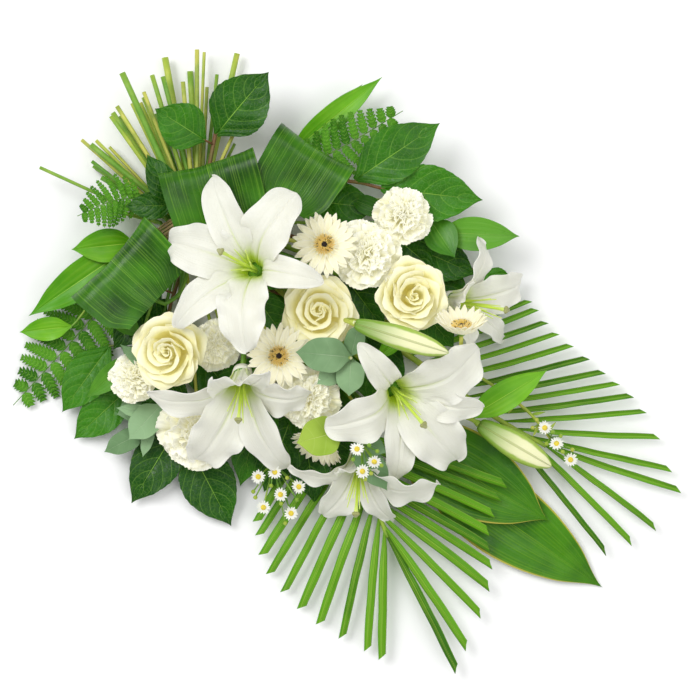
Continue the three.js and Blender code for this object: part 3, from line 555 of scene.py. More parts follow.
class Nodes:
    """A node tree in the making, with short ways to add what the finishes use."""

    def __init__(self, tree: bpy.types.NodeTree) -> None:
        """Works on the given tree."""
        self.tree = tree

    def add(self, kind: str, **settings: object) -> bpy.types.Node:
        """Adds a node.

        Args:
            kind: Blender's name for the kind of node.
            settings: Its properties.

        Returns:
            The node.
        """
        made = self.tree.nodes.new(kind)
        for key, value in settings.items():
            setattr(made, key, value)
        return made

    def feed(self, socket: Socket, value: object) -> None:
        """Feeds a socket.

        Args:
            socket: The socket.
            value: Another socket to link it to, or its value.
        """
        if isinstance(value, Socket):
            self.tree.links.new(value, socket)
        else:
            socket.default_value = value

    def math(self, operation: str, one: object, other: object = 0.0) -> Socket:
        """A Math node's result.

        Args:
            operation: What it does.
            one: Its first value.
            other: Its second value.

        Returns:
            The result's socket.
        """
        made = self.add("ShaderNodeMath", operation=operation)
        self.feed(made.inputs[0], one)
        self.feed(made.inputs[1], other)
        return made.outputs[0]

    def times(self, one: object, other: object) -> Socket:
        """Two values multiplied."""
        return self.math("MULTIPLY", one, other)

    def plus(self, one: object, other: object) -> Socket:
        """Two values added up."""
        return self.math("ADD", one, other)

    def readings(self, *names: str) -> list[Socket]:
        """What a mesh keeps on its points under each of some names."""
        return [self.add("ShaderNodeAttribute", attribute_name=name).outputs["Fac"] for name in names]

    def mix(self, share: object, one: object, other: object) -> Socket:
        """Two colours mixed.

        Args:
            share: How much of the second there is.
            one: The first colour.
            other: The second colour.

        Returns:
            The mixed colour's socket.
        """
        made = self.add("ShaderNodeMix", data_type="RGBA")
        self.feed(made.inputs[0], share)
        self.feed(made.inputs[6], one)
        self.feed(made.inputs[7], other)
        return made.outputs[2]

    def span(self, value: object, low: object, high: object, start: float = 0.0,
             end: float = 1.0) -> Socket:
        """A value eased from one range to another and held at its ends.

        Args:
            value: The value.
            low: Where its range starts.
            high: Where its range ends.
            start: What it becomes at low.
            end: What it becomes at high.

        Returns:
            The eased value's socket.
        """
        made = self.add("ShaderNodeMapRange", interpolation_type="SMOOTHSTEP")
        for key, what in zip(range(5), (value, low, high, start, end)):
            self.feed(made.inputs[key], what)
        return made.outputs[0]

    def place(self) -> Socket:
        """The piece's own coordinates."""
        return self.add("ShaderNodeTexCoord").outputs["Object"]

    def grain(self, scale: float, detail: float = 3.0, place: Socket | None = None) -> Socket:
        """Soft noise.

        Args:
            scale: How fine it is.
            detail: How many finer layers lie over it.
            place: The coordinates that it reads, the piece's own if none are given.

        Returns:
            Its socket.
        """
        made = self.add("ShaderNodeTexNoise")
        self.feed(made.inputs["Vector"], self.place() if place is None else place)
        self.feed(made.inputs["Scale"], scale)
        self.feed(made.inputs["Detail"], detail)
        return made.outputs["Fac"]

    def group(self, name: str, **values: object) -> bpy.types.Node:
        """Places a shared node group.

        Args:
            name: The group's name.
            values: What feeds its inputs.

        Returns:
            The group's node.
        """
        made = self.add("ShaderNodeGroup", node_tree=bpy.data.node_groups[name])
        for key, value in values.items():
            self.feed(made.inputs[key], value)
        return made


def shared_group(name: str, inputs: dict[str, float], outputs: Sequence[str],
                 build: Callable[[Nodes, dict[str, object]], dict[str, object]]) -> None:
    """Makes a node group that several finishes place.

    Args:
        name: The group's name.
        inputs: Its inputs and their usual values.
        outputs: Its outputs.
        build: Wires the inside, from the inputs' sockets to what each output carries.
    """
    tree = bpy.data.node_groups.new(name, "ShaderNodeTree")
    for key, value in inputs.items():
        tree.interface.new_socket(key, in_out="INPUT", socket_type="NodeSocketFloat").default_value = value
    for key in outputs:
        tree.interface.new_socket(key, in_out="OUTPUT", socket_type="NodeSocketFloat")
    nodes = Nodes(tree)
    source, result = nodes.add("NodeGroupInput"), nodes.add("NodeGroupOutput")
    made = build(nodes, {key: source.outputs[key] for key in inputs})
    for key, value in made.items():
        nodes.feed(result.inputs[key], value)


def build_groups() -> None:
    """Makes the groups that the finishes share."""

    def midline(n: Nodes, i: dict[str, object]) -> dict[str, object]:
        """A soft line down the middle that narrows towards the tip."""
        width = n.times(i["Width"], n.span(i["Along"], 0.0, 1.0, 1.0, 0.3))
        side = n.math("ABSOLUTE", i["Across"])
        return {"Mask": n.span(side, n.times(width, 0.4), width, 1.0, 0.0)}

    def ribs(n: Nodes, i: dict[str, object]) -> dict[str, object]:
        """Ribs of uneven width that run from base to tip."""
        place = n.add("ShaderNodeCombineXYZ")
        n.feed(place.inputs[0], n.times(i["Across"], n.times(i["Count"], 0.22)))
        n.feed(place.inputs[1], n.times(i["Along"], 0.8))
        line = n.grain(1.0, 4.0, place.outputs[0])
        fine = n.math("SINE", n.times(i["Across"], i["Count"]))
        return {"Height": n.plus(n.times(fine, 0.12), n.span(line, 0.25, 0.75))}

    def veins(n: Nodes, i: dict[str, object]) -> dict[str, object]:
        """Side veins that leave the midrib in pairs and bend towards the tip."""
        side = n.math("ABSOLUTE", i["Across"])
        bend = n.times(n.math("POWER", side, 1.4), i["Slant"])
        place = n.times(n.math("SUBTRACT", i["Along"], bend), i["Count"])
        gap = n.math("ABSOLUTE", n.math("SUBTRACT", n.math("FRACT", n.plus(place, 20.0)), 0.5))
        return {"Mask": n.span(gap, 0.0, i["Width"], 1.0, 0.0), "Quilt": n.span(gap, 0.0, 0.5, 0.0, 1.0)}

    def net(n: Nodes, i: dict[str, object]) -> dict[str, object]:
        """A net of small cells between the veins."""
        cells = n.add("ShaderNodeTexVoronoi", feature="DISTANCE_TO_EDGE")
        n.feed(cells.inputs["Vector"], n.place())
        n.feed(cells.inputs["Scale"], i["Scale"])
        return {"Mask": n.span(cells.outputs["Distance"], 0.0, i["Width"], 1.0, 0.0)}

    shared_group("Midline", {"Along": 0.0, "Across": 0.0, "Width": 0.1}, ["Mask"], midline)
    shared_group("Lengthwise ribs", {"Along": 0.0, "Across": 0.0, "Count": 60.0}, ["Height"], ribs)
    shared_group("Side veins", {"Along": 0.0, "Across": 0.0, "Count": 8.0, "Slant": 0.3, "Width": 0.1},
                 ["Mask", "Quilt"], veins)
    shared_group("Vein net", {"Scale": 300.0, "Width": 0.1}, ["Mask"], net)


class Skin(Nodes):
    """A material in the making, with its one Principled shader."""

    def __init__(self, name: str, roughness: float, subsurface: float = 0.0, coat: float = 0.0,
                 specular: float = 0.4, sheen: float = 0.0) -> None:
        """Starts the material and sets what is the same all over it.

        Args:
            name: The material's name.
            roughness: How matt it is.
            subsurface: How much light goes through it.
            coat: How much of a clear coat it has.
            specular: How strongly it reflects.
            sheen: How much of a soft bloom it has.
        """
        self.made = bpy.data.materials.new(name)
        self.made.use_nodes = True
        super().__init__(self.made.node_tree)
        self.shader = self.made.node_tree.nodes["Principled BSDF"]
        for key, value in {"Roughness": roughness, "Subsurface Weight": subsurface, "Coat Weight": coat,
                           "Subsurface Scale": 0.005, "Specular IOR Level": specular,
                           "Coat Roughness": 0.25, "Sheen Weight": sheen}.items():
            self.shader.inputs[key].default_value = value
        self.shader.inputs["Subsurface Radius"].default_value = (1.0, 0.92, 0.78)

    def colour(self, value: object) -> None:
        """Sets or links the base colour."""
        self.feed(self.shader.inputs["Base Color"], value)

    def tinted(self, base: object, mask: object, most: float, code: str) -> Socket:
        """A colour with a screen colour over it where the mask shows it, up to the share `most`."""
        return self.mix(self.times(mask, most), base, colour(code))

    def ribs(self, along: object, across: object, count: float) -> Socket:
        """The height of ribs that run from base to tip, the more of them the higher the count."""
        return self.group("Lengthwise ribs", Along=along, Across=across, Count=count).outputs[0]

    def midline(self, along: object, across: object, width: float) -> Socket:
        """The mask of a soft line down the middle, its width a share of the half width."""
        return self.group("Midline", Along=along, Across=across, Width=width).outputs[0]

    def vary_roughness(self, scale: float, low: float, high: float) -> None:
        """Lets the roughness vary softly between two values, in patches of a scale."""
        self.feed(self.shader.inputs["Roughness"], self.span(self.grain(scale), 0.3, 0.7, low, high))

    def bump(self, height: object, depth: float) -> None:
        """Gives the surface a relief.

        Args:
            height: How high it is, from 0 to 1.
            depth: How high 1 is, in metres.
        """
        made = self.add("ShaderNodeBump")
        self.feed(made.inputs["Height"], height)
        self.feed(made.inputs["Distance"], depth)
        self.feed(made.inputs["Strength"], 1.0)
        self.feed(self.shader.inputs["Normal"], made.outputs[0])


# Finishes.


@dataclass(frozen=True)
class PetalFinish:
    """A soft petal: its body, its rim, its throat and the fine veins along it.

    The glow stands for the light that comes through a thin petal from those behind it.
    """

    name: str
    body: str
    rim: str
    throat: str
    reach: float
    spread: float = 1.0
    ribs: float = 60.0
    relief: float = 0.00025
    roughness: float = 0.5
    midline: float = 0.0
    subsurface: float = 0.12
    glow: float = 0.0

    def build(self) -> Material:
        """Makes the material.

        Returns:
            The material.
        """
        skin = Skin(self.name, self.roughness, self.subsurface, sheen=0.1)
        along, across, tint = skin.readings("along", "across", "tint")
        side = skin.math("ABSOLUTE", across)
        edge = skin.math("MAXIMUM", skin.span(side, 0.55, 1.0), skin.span(along, 0.75, 1.0))
        base = skin.tinted(colour(self.body), edge, 0.8, self.rim)
        base = skin.mix(self.throat_mask(skin, along, across, side), base, colour(self.throat))
        patches = skin.span(skin.grain(60.0), 0.3, 0.8, 0.0, 0.35)
        patches = skin.times(patches, skin.span(tint, 0.0, 1.0, 0.3, 1.0))
        base = skin.mix(patches, base, colour(self.body if self.midline else self.throat))
        skin.colour(base)
        if self.glow:
            skin.feed(skin.shader.inputs["Emission Color"], base)
            skin.shader.inputs["Emission Strength"].default_value = self.glow
        ribs = skin.times(skin.ribs(along, across, self.ribs), 0.6)
        skin.bump(skin.plus(ribs, skin.times(skin.grain(900.0, 2.0), 0.4)), self.relief)
        skin.vary_roughness(200.0, self.roughness - 0.08, self.roughness + 0.08)
        return skin.made

    def throat_mask(self, skin: Skin, along: object, across: object, side: object) -> object:
        """Where the throat's colour shows: deep down, and on a lily along each petal's midline too, where the
        green is partly the furrow's own colour and partly painted shade in the groove.

        Args:
            skin: The material in the making.
            along: How far a point is from the petal's base.
            across: How far it is from the midline, with its sign.
            side: The same without its sign.

        Returns:
            The mask's socket.
        """
        depth = skin.span(along, 0.0, self.reach, 1.0, 0.0)
        narrow = skin.span(side, 0.0, self.spread, 1.0, 0.0)
        if not self.midline:
            return skin.times(depth, skin.plus(skin.times(narrow, 0.5), 0.5))
        # The green down a lily tepal's midline is partly the furrow's own colour and partly painted shade in
        # the groove.
        line = skin.times(skin.midline(along, across, self.midline), skin.span(along, 0.1, 0.6, 0.5, 0.0))
        face = skin.span(skin.readings("core")[0], 0.0, 1.0, 0.2, 1.0)
        heart = skin.times(skin.span(along, 0.08, 0.25, 1.0, 0.0), face)
        wash = skin.times(skin.times(depth, narrow), 0.45)
        return skin.math("MAXIMUM", line, skin.math("MAXIMUM", wash, heart))


@dataclass(frozen=True)
class BudFinish:
    """A closed bud: pale tepals with a green rib down each, a seam between them darkened partly with painted
    shade, and a green foot.
    """

    name: str
    body: str
    rib: str
    shaded_seam: str
    foot: str

    def build(self) -> Material:
        """Makes the material.

        Returns:
            The material.
        """
        skin = Skin(self.name, 0.4, 0.2)
        along, across = skin.readings("along", "across")
        wave = skin.times(skin.math("COSINE", skin.times(across, 3 * math.pi)), -1.0)
        rib = skin.span(skin.plus(wave, skin.times(skin.grain(70.0), 0.8)), 0.75, 1.25)
        base = skin.tinted(colour(self.body), rib, 0.9, self.rib)
        base = skin.mix(skin.span(along, 0.85, 1.0, 0.0, 0.7), base, colour(self.rib))
        base = skin.mix(skin.span(along, 0.16, 0.56, 0.95, 0.0), base, colour(self.foot))
        # The seam between the tepals is painted a darker olive. This is partly the bud's own seam line and
        # partly painted shade in the crease. It is also cut in as a groove.
        shaded_seam = skin.span(wave, -1.0, -0.93, 1.0, 0.0)
        skin.colour(skin.tinted(base, shaded_seam, 0.5, self.shaded_seam))
        ribs = skin.times(skin.ribs(along, across, 60.0), 0.4)
        skin.bump(skin.math("SUBTRACT", ribs, shaded_seam), 0.0006)
        return skin.made


@dataclass(frozen=True)
class LeafFinish:
    """A leaf: its dark and light greens, its midrib, and either side veins or lengthwise ones."""

    name: str
    dark: str
    light: str
    rib: str
    midline: float
    roughness: float
    veins: float = 0.0
    slant: float = 0.0
    stripes: float = 0.0
    net: float = 0.0
    relief: float = 0.0002
    coat: float = 0.05
    stripe_mix: float = 0.35
    vein_mix: float = 0.4
    margin: str = ""

    def build(self) -> Material:
        """Makes the material.

        Returns:
            The material.
        """
        skin = Skin(self.name, self.roughness, coat=self.coat, specular=0.2)
        along, across, tint = skin.readings("along", "across", "tint")
        patches = skin.plus(skin.times(skin.grain(25.0), 0.7), skin.times(tint, 0.55))
        base = skin.mix(skin.span(patches, 0.32, 0.82), colour(self.dark), colour(self.light))
        height = skin.times(skin.grain(500.0, 2.0), 0.25)
        if self.stripes:
            ribs = skin.ribs(along, across, self.stripes)
            base = skin.tinted(base, skin.span(ribs, 0.45, 1.0), self.stripe_mix, self.rib)
            height = skin.plus(height, ribs)
        if self.veins:
            side = skin.group("Side veins", Along=along, Across=across, Count=self.veins, Slant=self.slant,
                              Width=0.07)
            base = skin.tinted(base, side.outputs["Mask"], self.vein_mix, self.rib)
            height = skin.plus(height, skin.times(side.outputs["Quilt"], 0.9))
        if self.net:
            net = skin.group("Vein net", Scale=self.net, Width=0.12).outputs[0]
            base = skin.tinted(base, net, 0.1, self.rib)
            height = skin.math("SUBTRACT", height, skin.times(net, 0.35))
        line = skin.midline(along, across, self.midline)
        base = skin.tinted(base, line, 0.8, self.rib)
        height = skin.math("SUBTRACT", height, skin.times(line, 0.8))
        if self.margin:
            edge = skin.span(skin.math("ABSOLUTE", across), 0.93, 0.985)
            base = skin.tinted(base, edge, 0.8, self.margin)
        skin.colour(base)
        skin.bump(height, self.relief)
        skin.vary_roughness(120.0, self.roughness - 0.07, self.roughness + 0.1)
        return skin.made


@dataclass(frozen=True)
class StemFinish:
    """Green stems that differ from one to the next, with ridges along them and pale cut ends."""

    name: str
    shades: tuple[str, ...]
    cut: str = "E2E6B4"
    speck: str = "C9CF9A"
    roughness: float = 0.45

    def build(self) -> Material:
        """Makes the material.

        Returns:
            The material.
        """
        skin = Skin(self.name, self.roughness, coat=0.05)
        along, across, tint, core = skin.readings(*LAYERS)
        patches = skin.plus(tint, skin.span(skin.grain(40.0), 0.2, 0.8, -0.15, 0.15))
        base: object = colour(self.shades[0])
        for k, shade in enumerate(self.shades[1:], 1):
            at = k / len(self.shades)
            base = skin.mix(skin.span(patches, at - 0.12, at + 0.12), base, colour(shade))
        base = skin.tinted(base, skin.span(skin.grain(700.0, 3.0), 0.62, 0.75), 0.3, self.speck)
        skin.colour(skin.mix(skin.span(core, 0.4, 0.9), base, colour(self.cut)))
        skin.bump(skin.plus(skin.ribs(along, across, 22.0), skin.times(skin.grain(600.0), 0.5)), 0.0002)
        return skin.made


@dataclass(frozen=True)
class FibreFinish:
    """Dry raffia: straw strands with fine fibres along them."""

    name: str
    straw: str
    shade: str

    def build(self) -> Material:
        """Makes the material.

        Returns:
            The material.
        """
        skin = Skin(self.name, 0.75)
        along, across, tint = skin.readings("along", "across", "tint")
        fibre = skin.ribs(along, across, 40.0)
        share = skin.plus(skin.times(fibre, 0.6), skin.times(tint, 0.4))
        skin.colour(skin.mix(share, colour(self.shade), colour(self.straw)))
        skin.bump(skin.plus(fibre, skin.grain(900.0)), 0.0003)
        return skin.made


@dataclass(frozen=True)
class FloretFinish:
    """The tiny florets of a flower's eye, darker or lighter by their tint, with pale tips."""

    name: str
    outer: str
    inner: str
    tip: str = "FFF4CC"

    def build(self) -> Material:
        """Makes the material.

        Returns:
            The material.
        """
        skin = Skin(self.name, 0.75, sheen=0.2)
        along, tint = skin.readings("along", "tint")
        base = skin.mix(skin.span(tint, 0.25, 0.62), colour(self.inner), colour(self.outer))
        tip = skin.times(skin.span(along, 0.6, 1.0), skin.span(tint, 0.4, 0.9))
        skin.colour(skin.tinted(base, tip, 0.6, self.tip))
        skin.bump(skin.grain(2500.0), 0.0003)
        return skin.made


@dataclass(frozen=True)
class FloorFinish:
    """The plain pale floor of a studio, with the faintest grain."""

    name: str
    pale: str

    def build(self) -> Material:
        """Makes the material.

        Returns:
            The material.
        """
        skin = Skin(self.name, 0.9, specular=0.1)
        share = skin.span(skin.grain(8.0), 0.3, 0.7, 0.0, 0.3)
        skin.colour(skin.mix(share, colour(self.pale), colour("FFFFFF")))
        return skin.made


class Look(Enum):
    """The finishes that the sheaf's pieces choose from."""

    LILY = PetalFinish("Lily petal", "E6E5D6", "EBEADF", "C2DC1C", reach=0.36, spread=0.46, ribs=70.0,
                       relief=0.0004, roughness=0.42, midline=0.11, subsurface=0.25, glow=0.05)
    # The bud's seam colour is partly its own seam line and partly painted shade in the crease.
    LILY_BUD = BudFinish("Lily bud", "EEEEBE", "98BA30", "A4B060", "6E9A22")
    ROSE = PetalFinish("Rose petal", "FAF5BE", "FCF9DC", "F5EA8A", reach=0.8, ribs=50.0, relief=0.00012,
                       roughness=0.55, subsurface=0.15, glow=0.07)
    CARNATION = PetalFinish("Carnation petal", "FAF8E0", "FDFCF0", "F3EDB0", reach=0.7, relief=0.00016,
                            roughness=0.6, subsurface=0.15, glow=0.08)
    GERBERA = PetalFinish("Gerbera ray", "FBF6D6", "FCF9E6", "F0E8A4", reach=0.5, ribs=24.0, relief=0.0004,
                          roughness=0.55, subsurface=0.15, glow=0.08)
    ASTER = PetalFinish("Aster ray", "F8F8F0", "FCFCF8", "EDEEC8", reach=0.3, ribs=16.0)
    FILAMENT = PetalFinish("Lily filament", "C6E04A", "DCEE88", "A2CC2A", reach=0.3, spread=1.2, ribs=8.0,
                           roughness=0.4, subsurface=0.4)
    STIGMA = PetalFinish("Lily stigma", "9A9C62", "B2B48C", "8C9450", reach=0.3, spread=1.2, ribs=8.0)
    ASPIDISTRA = LeafFinish("Aspidistra leaf", "143C04", "44860E", "8CC03C", 0.012, 0.32, stripes=140.0,
                            coat=0.1, stripe_mix=0.26)
    BROAD = LeafFinish("Broad aspidistra leaf", "265E04", "4A8A0C", "8CBA24", 0.015, 0.32, stripes=80.0,
                       stripe_mix=0.2, margin="C8B84A")
    SALAL = LeafFinish("Salal leaf", "164A04", "3A7E10", "8CBE46", 0.03, 0.34, veins=6.0, slant=0.34,
                       net=240.0, relief=0.0005, vein_mix=0.26)
    BRIGHT = LeafFinish("Bright leaf", "4C980A", "7CBC22", "ACD848", 0.04, 0.36, stripes=20.0,
                        stripe_mix=0.14)
    RUSCUS = LeafFinish("Ruscus leaf", "2E6A0E", "5C9A2A", "86B64A", 0.03, 0.34, stripes=24.0,
                        stripe_mix=0.14)
    EUCALYPTUS = LeafFinish("Eucalyptus leaf", "64875A", "8FB184", "B4CCA4", 0.025, 0.6, veins=4.0,
                            slant=0.15, coat=0.0, vein_mix=0.07)
    LIME = LeafFinish("Lime eucalyptus leaf", "7FA424", "A2BE48", "CCDC84", 0.025, 0.58, veins=4.0,
                      slant=0.15, coat=0.0, vein_mix=0.12)
    # A palm leaflet's wide pale midline is partly its rib's own colour and partly a painted highlight along
    # the fold.
    PALM = LeafFinish("Palm leaflet", "2E6804", "5E9C14", "B2D452", 0.13, 0.36, stripes=16.0,
                      relief=0.0003, margin="4E6A18")
    FERN = LeafFinish("Fern leaflet", "2E720A", "5CA424", "A0CE58", 0.1, 0.42, veins=5.0, slant=0.5,
                      relief=0.0003, coat=0.0)
    STEM = StemFinish("Stem", ("5C9424", "7CA834", "A4BC40", "CCCA5C", "7E9E36", "8A5A34"))
    WOODY = StemFinish("Woody stem", ("6E7A34", "7E5A34", "8A4A30"))
    RAFFIA = FibreFinish("Raffia", "D2BC86", "8F7746")
    EYE = FloretFinish("Gerbera floret", "F6D45C", "1A100A")
    ASTER_EYE = FloretFinish("Aster floret", "F0DA3C", "D0B024")
    FLOOR = FloorFinish("Studio floor", "FCFCFC")

    def material(self) -> Material:
        """The finish's material, made once."""
        return bpy.data.materials.get(self.value.name) or self.value.build()


# Stems in the tie.


@dataclass(frozen=True)
class Stem:
    """Where a stem passes the tie, where its cut end lies, and what it passes through after the tie."""

    cell: tuple[float, int]
    cut: tuple[float, float]
    via: tuple[Point, ...] = ()
    back: bool = False
    approach: float = 24.0

    def line(self, fine: int = 6, pose: Pose | None = None) -> list[Vector]:
        """The stem's centre line.

        Args:
            fine: Stations to each length.
            pose: The head that it carries, if it carries one.

        Returns:
            Its stations, from the cut end.
        """
        column, row = self.cell
        waist = TIE + unit(SHEAF_HEADING + 90) * (column * COLUMN_PITCH) + Vector((0, 0, ROW_HEIGHTS[row]))
        ahead = unit(SHEAF_HEADING) * (-STRAIGHT if self.back else STRAIGHT)
        end = waist + unit(self.cut[1]) * self.cut[0]
        if not self.back:
            end.z = END_RISE * row + END_LIFT
        via = [Vector(p) for p in self.via]
        if pose:
            via.append(Vector(pose.at) - pose.axis() * self.approach)
        line = stations([end, waist - ahead, waist + ahead, *via], fine, 2)
        return line + [Vector(pose.at)] if pose else line


# Flowers. Each is made in its head's own frame: its base at the origin, its axis along +Z.


@dataclass(frozen=True)
class Tepal:
    """One of a lily's six tepals: its turn, its size, its whorl and how much further it opens."""

    turn: float
    size: float = 1.0
    inner: bool = False
    open: float = 0.0


@dataclass(frozen=True)
class Bud:
    """A closed lily bud on its own stalk, which leaves the lily's stem near `fork`."""

    name: str
    foot: Spot
    tip: Spot
    radius: float
    fork: tuple[Point, Point]

    SHAPE = ((0, 0), (0.5, 0.03), (0.86, 0.28), (1, 0.54), (0.76, 0.8), (0.32, 0.95), (0, 1))
    SKIN = 0.97  # the skin's radius as a share of the solid's

    def build(self) -> None:
        """Makes the closed tepals, three broad ones with seams between them."""
        foot, tip = Vector(self.foot), Vector(self.tip)
        way = (tip - foot).normalized()
        place = placed(foot + way * SEAT, heading_of(way), dip=90 - math.degrees(math.asin(way.z)))
        length = (tip - foot).length
        piece = Piece(f"{self.name}_skin", self.name)
        pairs = [(r * self.radius * self.SKIN, z * length) for r, z in self.SHAPE]
        piece.turned(pairs, 60, place, tint=0.4, lobes=3, depth=0.09, smoothed=40)
        piece.finish("lily_bud", Look.LILY_BUD.material())

    def stalk(self, line: Sequence[Vector]) -> list[Vector]:
        """The stalk from the lily's stem into the bud's foot.

        Args:
            line: The stem's centre line.

        Returns:
            The stalk's stations.
        """
        foot = Vector(self.foot)
        neck = foot - (Vector(self.tip) - foot).normalized() * 10
        start, by = (Vector(p) for p in self.fork)
        return stations([nearest_on(line, start), by, neck, foot], 6)


@dataclass(frozen=True)
class Lily:
    """An open lily: two whorls of waved tepals round a green throat, its pistil and six filaments."""

    name: str
    pose: Pose
    stem: Stem
    radius: float
    bend: float
    tepals: tuple[Tepal, ...]
    buds: tuple[Bud, ...] = ()
    length: float = 116.0
    throat: float = 5.4
    leaves: tuple["Leaf", ...] = ()
    pitch: tuple[float, ...] = (80, 70, 46, 20, 0, -22, -40)

    OUTER = Blade(1, 40, (0.2, 0.52, 0.9, 1.0, 0.94, 0.8), cup=0.14, groove=1.4, wave=2.8, uneven=3.4,
                  rows=44, cells=22, blunt=3.6, frill=True)
    INNER = replace(OUTER, width=57, groove=2.2, wave=4.6, blunt=5)

    def build(self) -> None:
        """Makes the tepals, the heart, the stem and the buds."""
        self.build_tepals()
        self.build_stem()
        for bud in self.buds:
            bud.build()

    def build_tepals(self) -> None:
        """Makes the tepals and the ring that joins them at the throat."""
        piece = Piece(f"{self.name}_petals", f"{self.name}_tepals")
        head = self.pose.matrix()
        draw = random.Random(self.name)
        last = len(self.pitch) - 1
        for tepal in self.tepals:
            kind = self.INNER if tepal.inner else self.OUTER
            pitch = tuple(slope + tepal.open * i / last for i, slope in enumerate(self.pitch))
            shape = replace(kind, length=self.length * tepal.size, width=kind.width * tepal.size, pitch=pitch,
                            wave=kind.wave * tepal.size, waves=2.6 + 1.4 * draw.random())
            out = unit(tepal.turn) * (self.throat + (1.2 if tepal.inner else 3))
            out.z = 2.5 if tepal.inner else 1
            piece.blade(shape, head @ placed(out, tepal.turn), draw.random(), ease=1.25)
        piece.thicken(LILY_WALL, faced=True)
        ring = ((self.throat + 1, 6), (self.throat - 0.5, 0), (self.throat + 4, 0), (self.throat + 5, 6),
                (self.throat + 1, 6))
        piece.turned(ring, 24, head, tint=1.0, core=1.0)
        piece.finish("lily_petal", Look.LILY.material())

    def build_stem(self) -> None:
        """Makes the stem with its forks, the green bowl in the flower's heart, and the leaves."""
        piece = Piece(f"{self.name}_stalk", f"{self.name}_stem")
        line = self.stem.line(pose=self.pose)
        draw = random.Random(self.name)
        tint = draw.uniform(0.1, 0.5)
        piece.rod(line, self.radius * SLIM, 12, tint)
        forks = [bud.stalk(line) for bud in self.buds]
        for fork in forks:
            piece.rod(fork, lambda share: 2.2 + 1.6 * smooth(0.8, 1.0, share), 10, tint)
        head = self.pose.matrix(self.pose.toward)
        seat = self.throat - 0.6
        piece.turned(((0, -4), (seat, -1), (seat, 3), (seat + 4.4, 6.7), (0, 5.2)), 24, head, 0.1)
        piece.finish("stem", Look.STEM.material())
        self.build_heart(head)
        if self.leaves:
            greens = Piece(f"{self.name}_leaves")
            for leaf in self.leaves:
                leaf.add(greens, Habit.BRIGHT.blade, draw.random())
            greens.thicken(LEAF_WALL)
            greens.material = 1
            for leaf in self.leaves:
                foot = Vector(leaf.start)
                near = min((nearest_on(way, foot) for way in forks), key=lambda at: (at - foot).length)
                greens.rod([near, foot, leaf.root()], 1.4, 8, 0.3)
            greens.finish("bright_leaf", Look.BRIGHT.material(), Look.STEM.material())

    def build_heart(self, head: Matrix) -> None:
        """Makes the pistil, its three-lobed stigma and the filaments.

        Args:
            head: The flower's own frame.
        """
        draw = random.Random(f"{self.name} heart")
        heart = Piece(f"{self.name}_filaments")
        tip = Vector((self.bend * 14, 0, 78))
        style = stations([(0, 0, -2), (0, 0, 26), (self.bend * 5, 0, 55), tip], 6)
        heart.rod(style, lambda share: 1.5 + 0.7 * smooth(0.8, 1.0, share), 12, 0.6, head)
        for k in range(6):
            reach, lean = draw.uniform(56, 64), draw.uniform(9, 14)
            out = unit(60 * k + 20)
            points = [out * 1.4 + Vector((0, 0, -2)), out * 3.4 + Vector((0, 0, reach * 0.45)),
                      out * lean + Vector((0, 0, reach))]
            heart.rod(stations(points, 8), lambda share: 1.5 - 1.0 * share, 8, draw.random(), head)
        heart.finish("lily_petal", Look.FILAMENT.material())
        stigma = Piece(f"{self.name}_stigma")
        place = head @ Matrix.Translation(tip)
        pairs = ((0, -2.4), (2.6, -0.6), (3.6, 1.2), (2.4, 3.2), (0, 2.4))
        stigma.turned(pairs, 24, place, 0.5, lobes=3, depth=0.22, smoothed=10)
        stigma.finish("lily_petal", Look.STIGMA.material())


